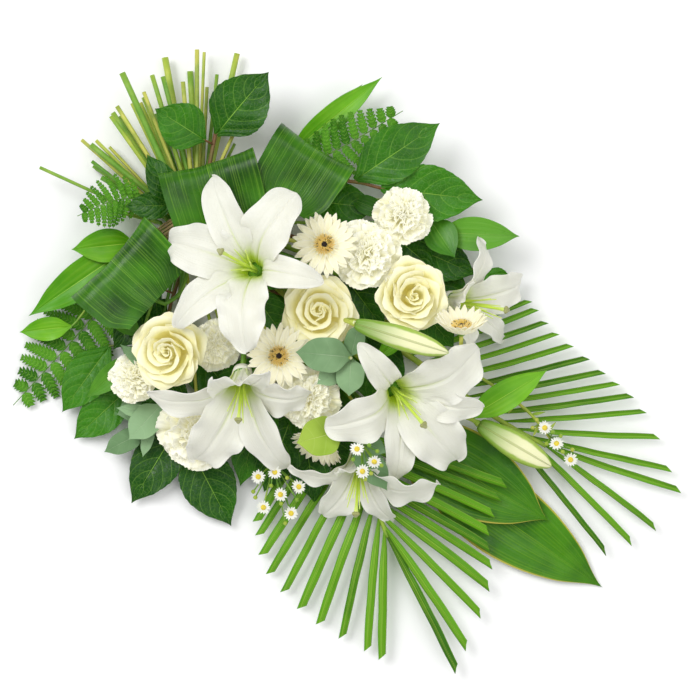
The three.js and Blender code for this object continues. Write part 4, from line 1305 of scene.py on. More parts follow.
@dataclass(frozen=True)
class Whorl:
    """Petals round an axis, all swung from one bending profile, each with its own rim.

    The rim drops at a petal's sides, may rise to a peak, curls out and tucks one side under the next
    petal. It crumples as a rose's does, or ruffles and is toothed as a carnation's is. The looser the
    whorl, the more its petals differ.
    """

    petals: int
    length: float
    base: float
    pitch: tuple[float, ...]
    spread: float
    drop: float = 0.25
    peak: float = 0.0
    curl: float = 0.0
    tuck: float = 0.0
    ruffle: float = 0.0
    folds: float = 3.0
    teeth: int = 0
    spin: float = 0.0
    loose: float = 1.0
    crumple: float = 0.0
    rows: int = 14
    cells: int = 12

    def maker(self, heading: float, draw: random.Random, size: float) -> Maker:
        """The rule for one petal.

        Args:
            heading: Where round the axis its middle is.
            draw: Where its own small differences come from.
            size: The flower's size as a share of the drawn one.

        Returns:
            A function from t along and s across to a point.
        """
        off = draw.uniform(-1, 1)
        pitch = tuple(p + 3 * self.loose * off * k / 4 for k, p in enumerate(self.pitch))
        rib = Rib(self.length * size * (1 + 0.02 * self.loose * draw.uniform(-1, 1)), pitch)
        start, second = draw.uniform(0, 6.3), draw.uniform(0, 6.3)
        folds = self.folds * draw.uniform(0.8, 1.2)
        twist = 0.6 * (self.loose - 1) * draw.uniform(-1, 1)

        def at(t: float, s: float) -> Vector:
            """One point of the petal, for t along and s across."""
            side = abs(s)
            rim = 1 - self.drop * side ** 2.6 + self.peak * math.exp(-((s / 0.22) ** 2)) - self.peak
            if self.crumple:
                rim -= 0.05 * self.crumple * noise.noise(Vector((s * 3.2, start, 0.0)))
            if self.teeth:
                rim -= 0.035 * abs((s * self.teeth / 2 + start) % 1.0 - 0.5) * 2
            reach = t * (1 - t + t * rim)
            x, z, slope = rib.at(reach)
            swing = math.radians(heading + s * self.spread * (0.5 + 0.5 * smooth(0, 0.5, t)))
            lift = (self.tuck + twist) * s * t - self.curl * (smooth(0.72, 1.0, t) ** 2 + 0.6 * side ** 5 * t)
            if self.ruffle:
                wave = math.sin(folds * math.pi * s + start)
                wave += 0.45 * math.sin(folds * 2.3 * math.pi * s + second)
                lift += self.ruffle * t ** 1.6 * wave
            far = Vector((x * 0.06, s * 1.6, start * 3))
            lift = lift * size + 1.4 * t * noise.noise(far) + self.crumple * t ** 3 * noise.noise(far * 2.2)
            radius = 1.2 + x - lift * math.sin(slope) * smooth(0.0, 0.2, t)
            height = self.base * size + z + lift * math.cos(slope)
            return Vector((radius * math.cos(swing), radius * math.sin(swing), height))

        return at

    def build(self, piece: Piece, place: Matrix, draw: random.Random, size: float = 1.0) -> None:
        """Adds all the whorl's petals to a piece.

        Args:
            piece: The piece.
            place: The flower's own frame.
            draw: Where small differences come from.
            size: The flower's size as a share of the drawn one.
        """
        swing, tip = 4 * self.loose, 2.5 * self.loose
        for k in range(self.petals):
            heading = 360 * k / self.petals + self.spin + swing * draw.uniform(-1, 1)
            tilt = turn("X", tip * draw.uniform(-1, 1)) @ turn("Y", tip * draw.uniform(-1, 1))
            piece.sheet(self.rows, self.cells, self.maker(heading, draw, size), place @ tilt, draw.random())


@dataclass(frozen=True)
class Head:
    """A flower head on its stem: where it is, how big, and how its stem runs."""

    name: str
    pose: Pose
    size: float
    stem: Stem
    shut: float = 0.0

    def start(self) -> tuple[random.Random, Matrix]:
        """Where the head's small differences come from, and its own frame, turned by the first of them."""
        draw = random.Random(self.name)
        return draw, self.pose.seated().matrix(draw.uniform(0, 360))


@dataclass(frozen=True)
class Rose(Head):
    """A garden rose: a tight spiral heart in ever wider petals with rolled, crumpled rims."""

    DRAWN = 36.0
    WHORLS = (
        Whorl(2, 36, 4, (50, 90, 96, 94, 70), 130, 0.1, 0.03, 1.0, 2.2, spin=20),
        Whorl(3, 42, 3.4, (28, 80, 92, 94, 66), 80, 0.16, 0.05, 2.2, 2.6, spin=70, loose=1.6),
        Whorl(3, 49, 3, (12, 62, 86, 92, 58), 82, 0.2, 0.07, 3.4, 3.0, spin=50, loose=1.8),
        Whorl(4, 54, 2.5, (4, 44, 78, 88, 36), 66, 0.24, 0.09, 4.2, 3.0, spin=5, loose=1.8),
        Whorl(5, 57, 1.8, (2, 30, 68, 74, 4), 56, 0.27, 0.1, 4.4, 2.2, spin=40, loose=1.8),
        Whorl(5, 56, 1, (0, 14, 58, 58, -20), 50, 0.3, 0.1, 4.0, 1.8, spin=20, loose=1.6),
    )

    def build(self) -> None:
        """Makes the petals."""
        piece = Piece(f"{self.name}_petals", self.name)
        draw, place = self.start()
        for whorl in self.WHORLS:
            rimmed = replace(whorl, crumple=1.5, cells=18)
            rimmed.build(piece, place, draw, self.size / self.DRAWN)
        piece.thicken(ROSE_WALL)
        piece.finish("rose_petal", Look.ROSE.material())


@dataclass(frozen=True)
class Carnation(Head):
    """A full carnation: many whorls of fan petals, deeply ruffled and toothed at their rims.

    Its whorls' lengths are shares of the flower's size.
    """

    WHORLS = (
        Whorl(6, 1.1, 0.8, (0, 30, 22, 2), 42, 0.14),
        Whorl(6, 1.06, 1.2, (0, 46, 40, 4), 43, 0.14, spin=22),
        Whorl(6, 1.02, 1.6, (0, 60, 54, 8), 44, 0.13, spin=50),
        Whorl(5, 0.98, 2.0, (0, 70, 68, 14), 48, 0.12, spin=10),
        Whorl(5, 0.94, 2.4, (10, 80, 78, 22), 50, 0.1, spin=40),
        Whorl(4, 0.9, 2.8, (20, 86, 86, 32), 60, 0.08, spin=15),
        Whorl(3, 0.86, 3.2, (40, 92, 94, 50), 80, 0.06, spin=64),
    )

    def build(self) -> None:
        """Makes the petals."""
        piece = Piece(f"{self.name}_petals", self.name)
        draw, place = self.start()
        for whorl in self.WHORLS:
            frilled = replace(whorl, length=whorl.length * self.size, ruffle=3.8, folds=2.4, teeth=13,
                              loose=3.6, rows=12, cells=28)
            frilled.build(piece, place, draw)
        piece.thicken(PETAL_WALL)
        piece.finish("carnation_petal", Look.CARNATION.material())


@dataclass(frozen=True)
class Gerbera(Head):
    """A gerbera: two layers of grooved strap rays, a short inner frill, and an eye of tiny florets."""

    RINGS = ((19, 1.0, 0.4), (18, 0.92, 2.2))
    RAY = Blade(1, 8.0, (0.3, 0.62, 0.96, 1.0, 0.95, 0.6), cup=0.16, groove=0.25, wave=0.4, uneven=0.8,
                rows=14, cells=8, blunt=5)
    FRILL = Blade(1, 2.2, (0.5, 1.0, 0.9, 0.4), cup=0.2, rows=5, cells=2)
    FRILLS = 26
    FLORETS = 150
    EYE = 10.2

    def build(self) -> None:
        """Makes the rays and the eye."""
        draw, place = self.start()
        piece = Piece(f"{self.name}_straps", f"{self.name}_rays")
        shut = self.shut
        pitch = (0, 0, 4 + shut * 0.7, 2 + shut, shut - 8)
        for ring, (count, share, lift) in enumerate(self.RINGS):
            for k in range(count):
                heading = 360 * (k + 0.5 * ring) / count + draw.uniform(-3, 3)
                off = draw.uniform(-4, 4)
                bent = tuple(p + off * n / 4 for n, p in enumerate(pitch))
                length = self.size * share * draw.uniform(0.94, 1.02)
                shape = replace(self.RAY, length=length, pitch=bent, sweep=draw.uniform(-0.03, 0.03))
                piece.blade(shape, place @ placed((0, 0, 0.9 + lift), heading), draw.random())
        for k in range(self.FRILLS):
            shape = replace(self.FRILL, length=draw.uniform(13, 15.5), pitch=(10, 22, 20 + shut * 0.4))
            heading = 360 * k / self.FRILLS + draw.uniform(-4, 4)
            piece.blade(shape, place @ placed((0, 0, 2.6), heading), draw.random())
        piece.thicken(PETAL_WALL)
        piece.finish("gerbera_ray", Look.GERBERA.material())
        self.build_eye(place, draw)

    def build_eye(self, place: Matrix, draw: random.Random) -> None:
        """Makes the eye, floret by floret: a fuzzy golden ring with dark specks round a dark star.

        Args:
            place: The flower's own frame.
            draw: Where small differences come from.
        """
        eye = Piece(f"{self.name}_eye", f"{self.name}_disc")
        eye.turned(((0, 3.3), (4.8, 3.4), (6.8, 5.2), (4.4, 6.4), (0, 5.8)), 24, place, 0.62, smoothed=10)
        eye.turned(((0, 5), (2.9, 5.8), (2.4, 6.9), (0, 6.5)), 16, place, 0.02, 6, 0.12, smoothed=8)
        for k in range(self.FLORETS):
            far = self.EYE * math.sqrt((k + 0.5) / self.FLORETS)
            out = unit(GOLDEN * k) * far
            ring = smooth(2.3, 3.4, far)
            height = 6.4 + 2.4 * ring - 1.6 * smooth(7.4, self.EYE, far) + draw.uniform(-0.5, 0.5)
            foot = Vector((out.x * 0.75, out.y * 0.75, 4.6))
            top = Vector((out.x * (1 + 0.1 * ring), out.y * (1 + 0.1 * ring), height))
            pale = draw.uniform(0.7, 1.0) if draw.random() > 0.45 - 0.04 * far else 0.38
            eye.rod([foot, top], 0.42 + 0.12 * (1 - ring), 5, ring * pale, place)
        eye.finish("gerbera_disc", Look.EYE.material())


@dataclass(frozen=True)
class AsterSpray:
    """A spray of small white asters with yellow eyes, and its green buds."""

    name: str
    stem: Stem
    heads: tuple[Point, ...]
    buds: tuple[Point, ...] = ()

    LEAF = Blade(16, 3.4, (0.3, 1, 0.7, 0), (30, 10, -10), cup=0.2, rows=6, cells=2)
    RAYS = 15
    FLORETS = 16
    EYE = 2.4

    def build(self) -> None:
        """Makes the stalks, the rays and the eyes."""
        draw = random.Random(self.name)
        stalks = Piece(f"{self.name}_stalks", self.name)
        line = self.stem.line()
        fork = Vector(self.stem.via[-1])
        stalks.rod(line, 1.6, 8, 0.5)
        rays, eyes = Piece(f"{self.name}_rays"), Piece(f"{self.name}_eyes")
        for at in self.heads:
            top = Vector(at)
            middle = fork.lerp(top, 0.5) + Vector((0, 0, -2))
            stalks.rod(stations([fork, middle, top], 5), 0.9, 6, draw.uniform(0.05, 0.35))
            self.build_head(Pose(tuple(at), draw.uniform(4, 26), draw.uniform(0, 360)), rays, eyes, draw)
        for at in self.buds:
            top = Vector(at)
            foot = nearest_on(line, top)
            stalks.rod(stations([foot, foot.lerp(top, 0.6) + Vector((0, 0, 2)), top], 5), 0.7, 6, 0.2)
            pairs = ((0, -1), (1.8, 0.4), (2.2, 2.4), (1.2, 4.2), (0, 4.6))
            stalks.turned(pairs, 10, Matrix.Translation(top), 0.38, smoothed=7)
        for k in range(4):
            stalks.blade(self.LEAF, placed(line[-2 - 2 * k], draw.uniform(0, 360)), 0.4)
        stalks.thicken(PETAL_WALL)
        stalks.finish("aster", Look.STEM.material())
        rays.thicken(ASTER_WALL)
        rays.finish("aster", Look.ASTER.material())
        eyes.finish("aster", Look.ASTER_EYE.material())

    def build_head(self, pose: Pose, rays: Piece, eyes: Piece, draw: random.Random) -> None:
        """Makes one small head: its rays and its domed eye.

        Args:
            pose: Where it is.
            rays: The piece that its rays join.
            eyes: The piece that its eye joins.
            draw: Where small differences come from.
        """
        place = pose.matrix(draw.uniform(0, 90))
        for k in range(self.RAYS):
            shape = Blade(draw.uniform(6.8, 8.2), 2.3, (0.4, 0.9, 1, 0.5), (2, draw.uniform(0, 16), 8),
                          cup=0.1, rows=5, cells=2, notch=0.1)
            heading = 360 // self.RAYS * k + draw.uniform(-5, 5)
            rays.blade(shape, place @ placed((0, 0, 0.4), heading), draw.random())
        eyes.turned(((0, -0.4), (2.6, 0.2), (2.7, 1.4), (1.6, 2.4), (0, 2.7)), 12, place, 0.5, smoothed=7)
        for k in range(self.FLORETS):
            far = self.EYE * math.sqrt((k + 0.5) / self.FLORETS)
            at = place @ (unit(GOLDEN * k) * far + Vector((0, 0, 2.6 - 0.22 * far * far)))
            eyes.turned(((0, -0.3), (0.45, 0), (0, 0.5)), 5, Matrix.Translation(at), draw.random())


# Leaves.


OVAL = (0.12, 0.85, 1, 0.66, 0)
ROUND = Blade(1, 1, (0.12, 0.92, 1, 0.8, 0), cup=0.06, wave=1.0, waves=1.3, uneven=1.4, groove=0.3, rows=24,
              cells=12)


class Habit(Enum):
    """A kind of leaf: its shape, with the length and width still to be set, its look and its slot."""

    SALAL = (Blade(1, 1, OVAL, cup=0.06, crease=0.1, wave=1.4, waves=2.4, uneven=2.2, teeth=34, bite=0.035,
                   groove=0.5, rows=44, cells=16), Look.SALAL, "salal_leaf")
    ASPIDISTRA = (Blade(1, 1, (0.12, 0.82, 1, 0.9, 0.56, 0), cup=0.03, crease=0.05, wave=1.6, waves=1.6,
                        uneven=1.8, rows=44, cells=24), Look.BROAD, "aspidistra_leaf")
    BRIGHT = (Blade(1, 1, OVAL, cup=0.08, crease=0.12, wave=1.4, waves=1.8, uneven=1.6, groove=0.4, rows=30,
                    cells=12), Look.BRIGHT, "bright_leaf")
    RUSCUS = (Blade(1, 1, OVAL, cup=0.06, crease=0.1, wave=0.6, waves=1.4, uneven=0.9, rows=24, cells=10),
              Look.RUSCUS, "ruscus_leaf")
    EUCALYPTUS = (ROUND, Look.EUCALYPTUS, "eucalyptus_leaf")
    LIME = (ROUND, Look.LIME, "eucalyptus_leaf")
    LANCE = (Blade(1, 1, OVAL, cup=0.3, wave=0.6, waves=1.2, rows=30, cells=8), Look.BRIGHT, "bright_leaf")

    @property
    def blade(self) -> Blade:
        """The leaf's shape."""
        return self.value[0]

    def material(self) -> Material:
        """The leaf's material."""
        return self.value[1].material()

    @property
    def slot(self) -> str:
        """The record's slot that it takes."""
        return self.value[2]


@dataclass(frozen=True)
class Leaf:
    """One leaf between two points, arched by `bow` degrees at each end."""

    start: Point
    end: Point
    width: float
    bow: float = 10.0

    def root(self) -> Vector:
        """The point of the leaf's midrib at which its stalk ends."""
        foot = Vector(self.start)
        return foot + (Vector(self.end) - foot).normalized() * NECK

    def add(self, piece: Piece, shape: Blade, tint: float, roll: float = 0.0) -> None:
        """Adds the leaf to a piece.

        Args:
            piece: The piece that it joins.
            shape: Its kind's blade.
            tint: What tells it from its neighbours.
            roll: How far it turns about its own line, in degrees.
        """
        reach = Vector(self.end) - Vector(self.start)
        slope = math.degrees(math.atan2(reach.z, math.hypot(reach.x, reach.y)))
        length = reach.length * math.radians(self.bow) / math.sin(math.radians(self.bow))
        fitted = replace(shape, length=length, width=self.width,
                         pitch=(slope + self.bow, slope, slope - self.bow))
        piece.blade(fitted, placed(self.start, heading_of(reach), roll), tint, ease=1.15)


@dataclass(frozen=True)
class LeafyStem:
    """A stem run through the tie and the leaves that grow from it, each on its own stalk."""

    name: str
    habit: Habit
    stem: Stem
    leaves: tuple[Leaf, ...]
    radius: float = 1.9
    woody: bool = False

    def build(self) -> None:
        """Makes the leaves and the stem."""
        piece = Piece(f"{self.name}_greens", self.name)
        draw = random.Random(self.name)
        line = self.stem.line()
        for leaf in self.leaves:
            leaf.add(piece, self.habit.blade, draw.random())
        piece.thicken(LEAF_WALL)
        piece.material = 1
        tint = draw.uniform(0.1, 0.7)
        piece.rod(line, lambda share: self.radius * (1.08 - 0.2 * share), 10, tint)
        for leaf in self.leaves:
            foot = Vector(leaf.start)
            near = nearest_on(line, foot)
            gap = (near - foot).length
            if gap > 0.6:
                middle = near.lerp(foot, 0.5) + Vector((0, 0, min(2.0, gap * 0.08)))
                stalk = stations([near, middle, foot, leaf.root()], 5)
                piece.rod(stalk, lambda share: 1.3 - 0.4 * share, 8, tint)
        bark = Look.WOODY if self.woody else Look.STEM
        piece.finish(self.habit.slot, self.habit.material(), bark.material())


@dataclass(frozen=True)
class Underleaves:
    """A twig of leaves that only the scene has.

    Most close the sheaf below its flowers with dark leaves. One carries the eucalyptus leaves in front.
    """

    name: str
    line: tuple[Point, ...]
    leaves: tuple[Leaf, ...]
    habit: Habit = Habit.SALAL

    def build(self) -> None:
        """Makes the leaves, their stalks and the twig that carries them."""
        piece = Piece(self.name)
        draw = random.Random(self.name)
        line = stations(self.line, 8)
        for leaf in self.leaves:
            leaf.add(piece, self.habit.blade, draw.random() * 0.5)
        piece.thicken(LEAF_WALL)
        piece.material = 1
        piece.rod(line, 1.8, 8, 0.4)
        for leaf in self.leaves:
            foot = Vector(leaf.start)
            piece.rod([nearest_on(line, foot), foot, leaf.root()], 1.2, 8, 0.4)
        piece.finish(self.habit.slot, self.habit.material(), Look.WOODY.material())


@dataclass(frozen=True)
class FoldedLeaf:
    """A broad aspidistra leaf rolled back over itself into a loop, its stalk run to the tie.

    It lies flat, folds over by `fold` degrees round the radius `bend`, and runs back by `reach`.
    """

    name: str
    ridge: tuple[float, float]
    heading: float
    width: float
    reach: float
    stem: Stem
    floor: float = 56.0
    run: float = 74.0
    bend: float = 15.5
    fold: float = 184.0
    steps: int = 14

    def build(self) -> None:
        """Makes the folded blade and its stalk."""
        foot = Vector((*self.ridge, self.floor)) + unit(self.heading) * (self.bend - self.run)
        round_fold = math.pi * self.bend
        flat = self.run - 2 * self.bend
        length = flat + round_fold + self.reach
        pitch = tuple(self.fold * min(max((k / self.steps * length - flat) / round_fold, 0.0), 1.0)
                      for k in range(self.steps + 1))
        shape = Blade(length, self.width, (0.1, 0.8, 0.98, 1, 1, 1, 0.98, 0.94, 0.7), pitch, cup=-0.09,
                      wave=0.9, waves=3.0, uneven=1.2, rows=84, cells=34)
        piece = Piece(f"{self.name}_fold", self.name)
        piece.blade(shape, placed(foot, self.heading), 0.35)
        piece.thicken(LEAF_WALL)
        piece.material = 1
        line = self.stem.line() + [foot, foot + unit(self.heading) * 6]
        piece.rod(line, 2.2, 10, 0.2)
        piece.finish("aspidistra_leaf", Look.ASPIDISTRA.material(), Look.STEM.material())


@dataclass(frozen=True)
class Fan:
    """One side of a palm frond: how many leaflets leave which stretch of its rib, and their tips.

    The tips lie on a curve through those given. The leaflets roll about their own lines by `roll` degrees.
    """

    count: int
    first: float
    last: float
    tips: tuple[Point, ...]
    roll: float


@dataclass(frozen=True)
class PalmFrond:
    """A palm frond: folded strap leaflets, their tips cut blunt, fanned from both sides of its rib."""

    name: str
    stem: Stem
    fans: tuple[Fan, ...]
    width: float = 9.2

    LEAFLET = Blade(1, 1, (0.35, 0.8, 1, 1, 1, 0.86), crease=0.34, uneven=1.6, slant=0.05, rows=30, cells=6)

    def build(self) -> None:
        """Makes the leaflets and the rib."""
        piece = Piece(f"{self.name}_leaflets", self.name)
        draw = random.Random(self.name)
        line = self.stem.line(2)
        rib = Curve(line[4:])
        for fan in self.fans:
            for k in range(fan.count):
                share = k / (fan.count - 1)
                start = rib.share(fan.first + (fan.last - fan.first) * share)
                end = Vector([profile([tip[axis] for tip in fan.tips], share) for axis in range(3)])
                shape = replace(self.LEAFLET, sweep=draw.uniform(-0.012, 0.012))
                leaflet = Leaf(start, end, self.width * draw.uniform(0.88, 1.12), 4)
                leaflet.add(piece, shape, draw.random(), fan.roll)
        piece.thicken(LEAF_WALL)
        piece.material = 1
        piece.rod(self.stem.line(), lambda share: 3.1 - 0.9 * smooth(0.6, 1.0, share), 10, 0.35)
        piece.finish("palm_leaf", Look.PALM.material(), Look.STEM.material())


@dataclass(frozen=True)
class FernFrond:
    """A leather fern frond: narrow leaflets, themselves cut into lobes, along a fine rib.

    It has `density` leaflets to each of the solid's.
    """

    name: str
    stem: Stem
    count: int
    longest: float
    density: float = 1.3
    lobe_pitch: float = 3.7
    lobe_width: float = 4.6

    def build(self) -> None:
        """Makes the lobes, leaflet by leaflet, and the ribs that carry them."""
        piece = Piece(f"{self.name}_fronds", self.name)
        draw = random.Random(self.name)
        rib = Curve(self.stem.via[1:])
        number = round(self.density * self.count)
        pitch = rib.length / (number + 0.8)
        ribs: list[list[Vector]] = []
        for k in range(number):
            reach = self.longest * profile((0.78, 1, 0.94, 0.7, 0.34), k / (number - 1))
            for side in (-1, 1):
                foot = min(pitch * (k + 0.4 + 0.2 * side) / rib.length, 1)
                at, way = rib.share(foot), rib.way(foot)
                across = Vector((-way.y, way.x, 0)).normalized() * side
                out = (across + way * 0.34).normalized()
                end = at + out * reach + Vector((0, 0, draw.uniform(-3, 2)))
                middle = at.lerp(end, 0.5) + Vector((0, 0, 2.0)) - way * reach * 0.03
                ribs.append(stations([at, middle, end], 6))
                self.build_lobes(piece, Curve([at, middle, end]), reach, pitch, draw)
        piece.thicken(FERN_WALL)
        piece.material = 1
        for line in ribs:
            piece.rod(line, lambda share: 0.55 - 0.25 * share, 5, 0.0)
        piece.rod(replace(self.stem, via=self.stem.via[:2]).line(), 1.5, 8, 0.3)
        piece.rod([rib.share(k / 24) for k in range(25)], lambda share: 0.9 - 0.5 * share, 8, 0.05)
        piece.finish("fern_leaf", Look.FERN.material(), Look.STEM.material())

    def build_lobes(self, piece: Piece, rib: Curve, reach: float, pitch: float, draw: random.Random) -> None:
        """Makes the lobes on both sides of one leaflet's rib.

        Args:
            piece: The piece that they join.
            rib: The leaflet's rib.
            reach: How long the leaflet is.
            pitch: How far it is from the next one.
            draw: Where small differences come from.
        """
        count = max(int(reach / self.lobe_pitch), 4)
        tint = draw.random()
        for k in range(count):
            share = (k + 0.6) / (count + 0.4)
            at, way = rib.share(share), rib.way(share)
            long = pitch * 0.64 * profile((0.9, 1, 0.9, 0.7, 0.4), share)
            for side in (-1, 1):
                out = (Vector((-way.y, way.x, 0)).normalized() * side + way * 0.7).normalized()
                shape = Blade(long, self.lobe_width * (1 - 0.35 * share), (1.15, 1.05, 0.7, 0), (0, 8, 0),
                              cup=0.1, rows=4, cells=2)
                piece.blade(shape, placed(at, heading_of(out)), min(tint + draw.uniform(0, 0.3), 1.0))


# Stems, tie and studio.


@dataclass(frozen=True)
class StemBunch:
    """Flower stems that pass the tie side by side as one bunch."""

    name: str
    heads: tuple[str, ...]
    radius: float
    jointed: bool = False

    def build(self, flowers: dict[str, Head]) -> None:
        """Makes the stems and the green cup under each head.

        Args:
            flowers: The heads by name.
        """
        piece = Piece(f"{self.name}_stalks", self.name)
        draw = random.Random(self.name)
        for name in self.heads:
            head = flowers[name]
            line = head.stem.line(pose=head.pose)
            bumps = [draw.uniform(0.1, 0.6) for _ in range(3)]

            def size(share: float) -> float:
                """The stem's radius, thicker at its joints."""
                joints = sum(math.exp(-(((share - bump) / 0.012) ** 2)) for bump in bumps)
                return self.radius * (SLIM + 0.25 * joints * self.jointed) - 0.15 * share

            piece.rod(line, size, 12, draw.uniform(0.0, 1.0))
            radius = self.radius
            cup = ((0, -6), (radius, -5), (radius * 1.7, -2.4), (radius * 1.2, -0.3), (0, 0))
            piece.turned(cup, 14, head.pose.matrix(), 0.2, smoothed=8)
        piece.finish("stem", Look.STEM.material())


@dataclass(frozen=True)
class Tie:
    """Raffia wound round all the stems, its knot and the two short ends that leave it.

    The outline goes round the stems. It is `half` wide to each side, its middle height is `middle`, and the
    knot sits at `top`.
    """

    width: float = 14.0
    strand: float = 0.85
    windings: int = 9
    middle: float = 25.3
    half: float = 38.0
    top: float = 49.4
    outline: tuple[tuple[float, float], ...] = (
        (-28, 0.8), (0, 0.6), (28, 0.8), (36, 4), (38, 14), (36.5, 31), (29, 42), (17, 50), (-20, 50),
        (-32, 42), (-37, 31), (-38, 14), (-36, 4),
    )

    def build(self) -> None:
        """Makes the windings, the knot and its ends."""
        piece = Piece("tie_raffia", "tie")
        draw = random.Random("tie")
        upright = Matrix.Translation(TIE) @ turn("Z", SHEAF_HEADING + 90) @ turn("X", 90)
        for k in range(self.windings):
            along = self.width * ((k + 0.5) / self.windings - 0.5)
            tilt = draw.uniform(-1.2, 1.2)
            inset = draw.uniform(0.97, 0.995)
            loop = [Vector((x * inset, self.middle + (z - self.middle) * inset, along + tilt * x / self.half))
                    for x, z in self.outline]
            piece.rod(stations([*loop, loop[0]], 3), self.strand, 8, draw.random(), upright)
        top = Vector((0, self.top, 0))
        for k in range(3):
            swing = unit(40 * k) * 3.2
            ring = [top + Vector((math.cos(a) * 3.0, 1.0 + 0.5 * k, math.sin(a) * 3.0)) + swing * 0.2
                    for a in (math.tau * n / 10 for n in range(11))]
            piece.rod(ring, 1.0, 8, draw.random(), upright)
        for side in (-1, 1):
            end = [top + Vector(by) for by in ((0, 1.0, 0), (side * 9, -1.5, 9), (side * 20, -7.5, 16))]
            piece.rod(stations(end, 6), lambda share: 1.3 - 0.7 * share, 8, draw.random(), upright, flat=0.5)
        piece.finish("tie", Look.RAFFIA.material())


@dataclass(frozen=True)
class Lamp:
    """A soft square light that faces the sheaf: its place and side in metres, and its power in watts."""

    name: str
    at: Spot
    size: float
    power: float

    def build(self) -> None:
        """Makes the light."""
        light = bpy.data.lights.new(self.name, "AREA")
        light.size, light.energy = self.size, self.power
        lamp = shown(self.name, light)
        lamp.location = self.at
        lamp.rotation_euler = (-Vector(self.at)).to_track_quat("-Z", "Y").to_euler()


@dataclass(frozen=True)
class Studio:
    """A plain pale floor, soft light from the upper left, and the photograph's camera straight above."""

    centre: tuple[float, float] = (3.0, 16.0)
    height: float = 4.0
    lens: float = 203.0
    sensor: float = 36.0
    floor: float = 6.0
    daylight: float = 0.48
    lamps: tuple[Lamp, ...] = (
        Lamp("key", (-1.5, 1.2, 2.4), 1.5, 51.0), Lamp("fill", (1.8, -0.6, 2.2), 2.0, 22.0),
        Lamp("top", (0.5, 0.7, 3.2), 1.2, 14.0),
    )

    def build(self) -> None:
        """Makes the floor, the lights and the camera."""
        grid = bmesh.new()
        bmesh.ops.create_grid(grid, x_segments=4, y_segments=4, size=self.floor)
        mesh = bpy.data.meshes.new("studio_floor")
        grid.to_mesh(mesh)
        grid.free()
        mesh.materials.append(Look.FLOOR.material())
        ground = shown("studio_floor", mesh)
        for lamp in self.lamps:
            lamp.build()
        world = bpy.data.worlds.new("studio")
        world.use_nodes = True
        sky = world.node_tree.nodes["Background"].inputs
        sky["Color"].default_value = (1, 1, 1, 1)
        sky["Strength"].default_value = self.daylight
        bpy.context.scene.world = world
        bpy.context.scene.view_settings.view_transform = "Standard"
        camera = bpy.data.cameras.new("camera")
        camera.lens, camera.sensor_width = self.lens, self.sensor
        eye = shown("camera", camera)
        eye.location = (self.centre[0] * MM + SHIFT.x, self.centre[1] * MM + SHIFT.y, self.height)
        bpy.context.scene.camera = eye


# The sheaf's own pieces.

BUDS = (
    Bud("lily_bud_1", (8, 42, 122), (100, 13, 130), 12, ((-8, 30, 40), (14, 42, 76))),
    Bud("lily_bud_2", (132, -58, 46), (205, -101, 44), 14, ((6, 8, 30), (74, -36, 34))),
)

LILIES = (
    Lily("lily_1", Pose((-89, 94, 78.6), 19, 152), Stem((-0.2, 5), (158, 115)), 4, 1, (
        Tepal(54, 0.94, True), Tepal(-13, 0.86), Tepal(-88, 0.94, True), Tepal(-140),
        Tepal(162, 0.94, True), Tepal(112, 1.04))),
    Lily("lily_2", Pose((44, -20, 56), 28, -50), Stem((1, 1), (160, 102)), 4.2, 1, (
        Tepal(34, 1, True), Tepal(-6, 0.9, open=20), Tepal(-48, 1, True), Tepal(-92, 0.92),
        Tepal(198, 0.9, True), Tepal(128, 0.8)), BUDS, leaves=(
            Leaf((122, -52, 42), (201, -4, 44), 30, 8), Leaf((30, 8, 40), (66, 40, 44), 16, 8))),
    Lily("lily_3", Pose((-104, -4, 66), 44, -93), Stem((-1.7, 3), (119, 139)), 3.6, -0.6, (
        Tepal(178, 0.98), Tepal(116, 0.72, True, 60), Tepal(60, 0.7, open=50), Tepal(-2, 0.74, True),
        Tepal(-62, 1.04, open=16), Tepal(-122, 1, True, 16))),
    Lily("lily_4", Pose((13, -86, 38), 56, -94), Stem((-1, 1), (131, 124)), 3.2, -0.6, (
        Tepal(172, 0.72), Tepal(116, 0.5, True, 60), Tepal(60, 0.5, open=60), Tepal(0, 0.86, True),
        Tepal(-60, 0.74, open=24), Tepal(-126, 0.68, True, 30))),
    Lily("lily_5", Pose((100, 66, 34), 54, -10), Stem((3, 1), (155, 80)), 3.6, -0.6, (
        Tepal(82, 0.7), Tepal(20, 0.74, True, 24), Tepal(-40, 0.68, open=24), Tepal(-98, 0.5, True, 30),
        Tepal(-160, 0.5, open=60), Tepal(142, 0.5, True, 60))),
)

ROSES = (
    Rose("rose_1", Pose((-173, 16, 56), 12, 200), 34, Stem((-2.7, 3), (88, 146))),
    Rose("rose_2", Pose((-28, 52, 56), 4, 60), 34, Stem((0.9, 3), (145, 108))),
    Rose("rose_3", Pose((62, 68, 56), 10, 20), 33, Stem((1.6, 3), (139, 106))),
)

CARNATIONS = (
    Carnation("carnation_1", Pose((20, 110, 61), 8, 120), 33, Stem((2.5, 2), (120, 90))),
    Carnation("carnation_2", Pose((54, 148, 56), 14, 60), 27, Stem((3, 2), (131, 87))),
    Carnation("carnation_3", Pose((-132, 22, 40), 6, -90), 24, Stem((-2.2, 2), (118, 134))),
    Carnation("carnation_4", Pose((-37, -31, 54), 4, -60), 32, Stem((-0.5, 3), (128, 116))),
    Carnation("carnation_5", Pose((-150, -64, 24), 16, -100), 38,
              Stem((-2.65, 2), (128, 137), approach=9)),
    Carnation("carnation_6", Pose((-210, -12, 44), 22, 200), 24, Stem((-3.1, 2), (105, 140))),
)

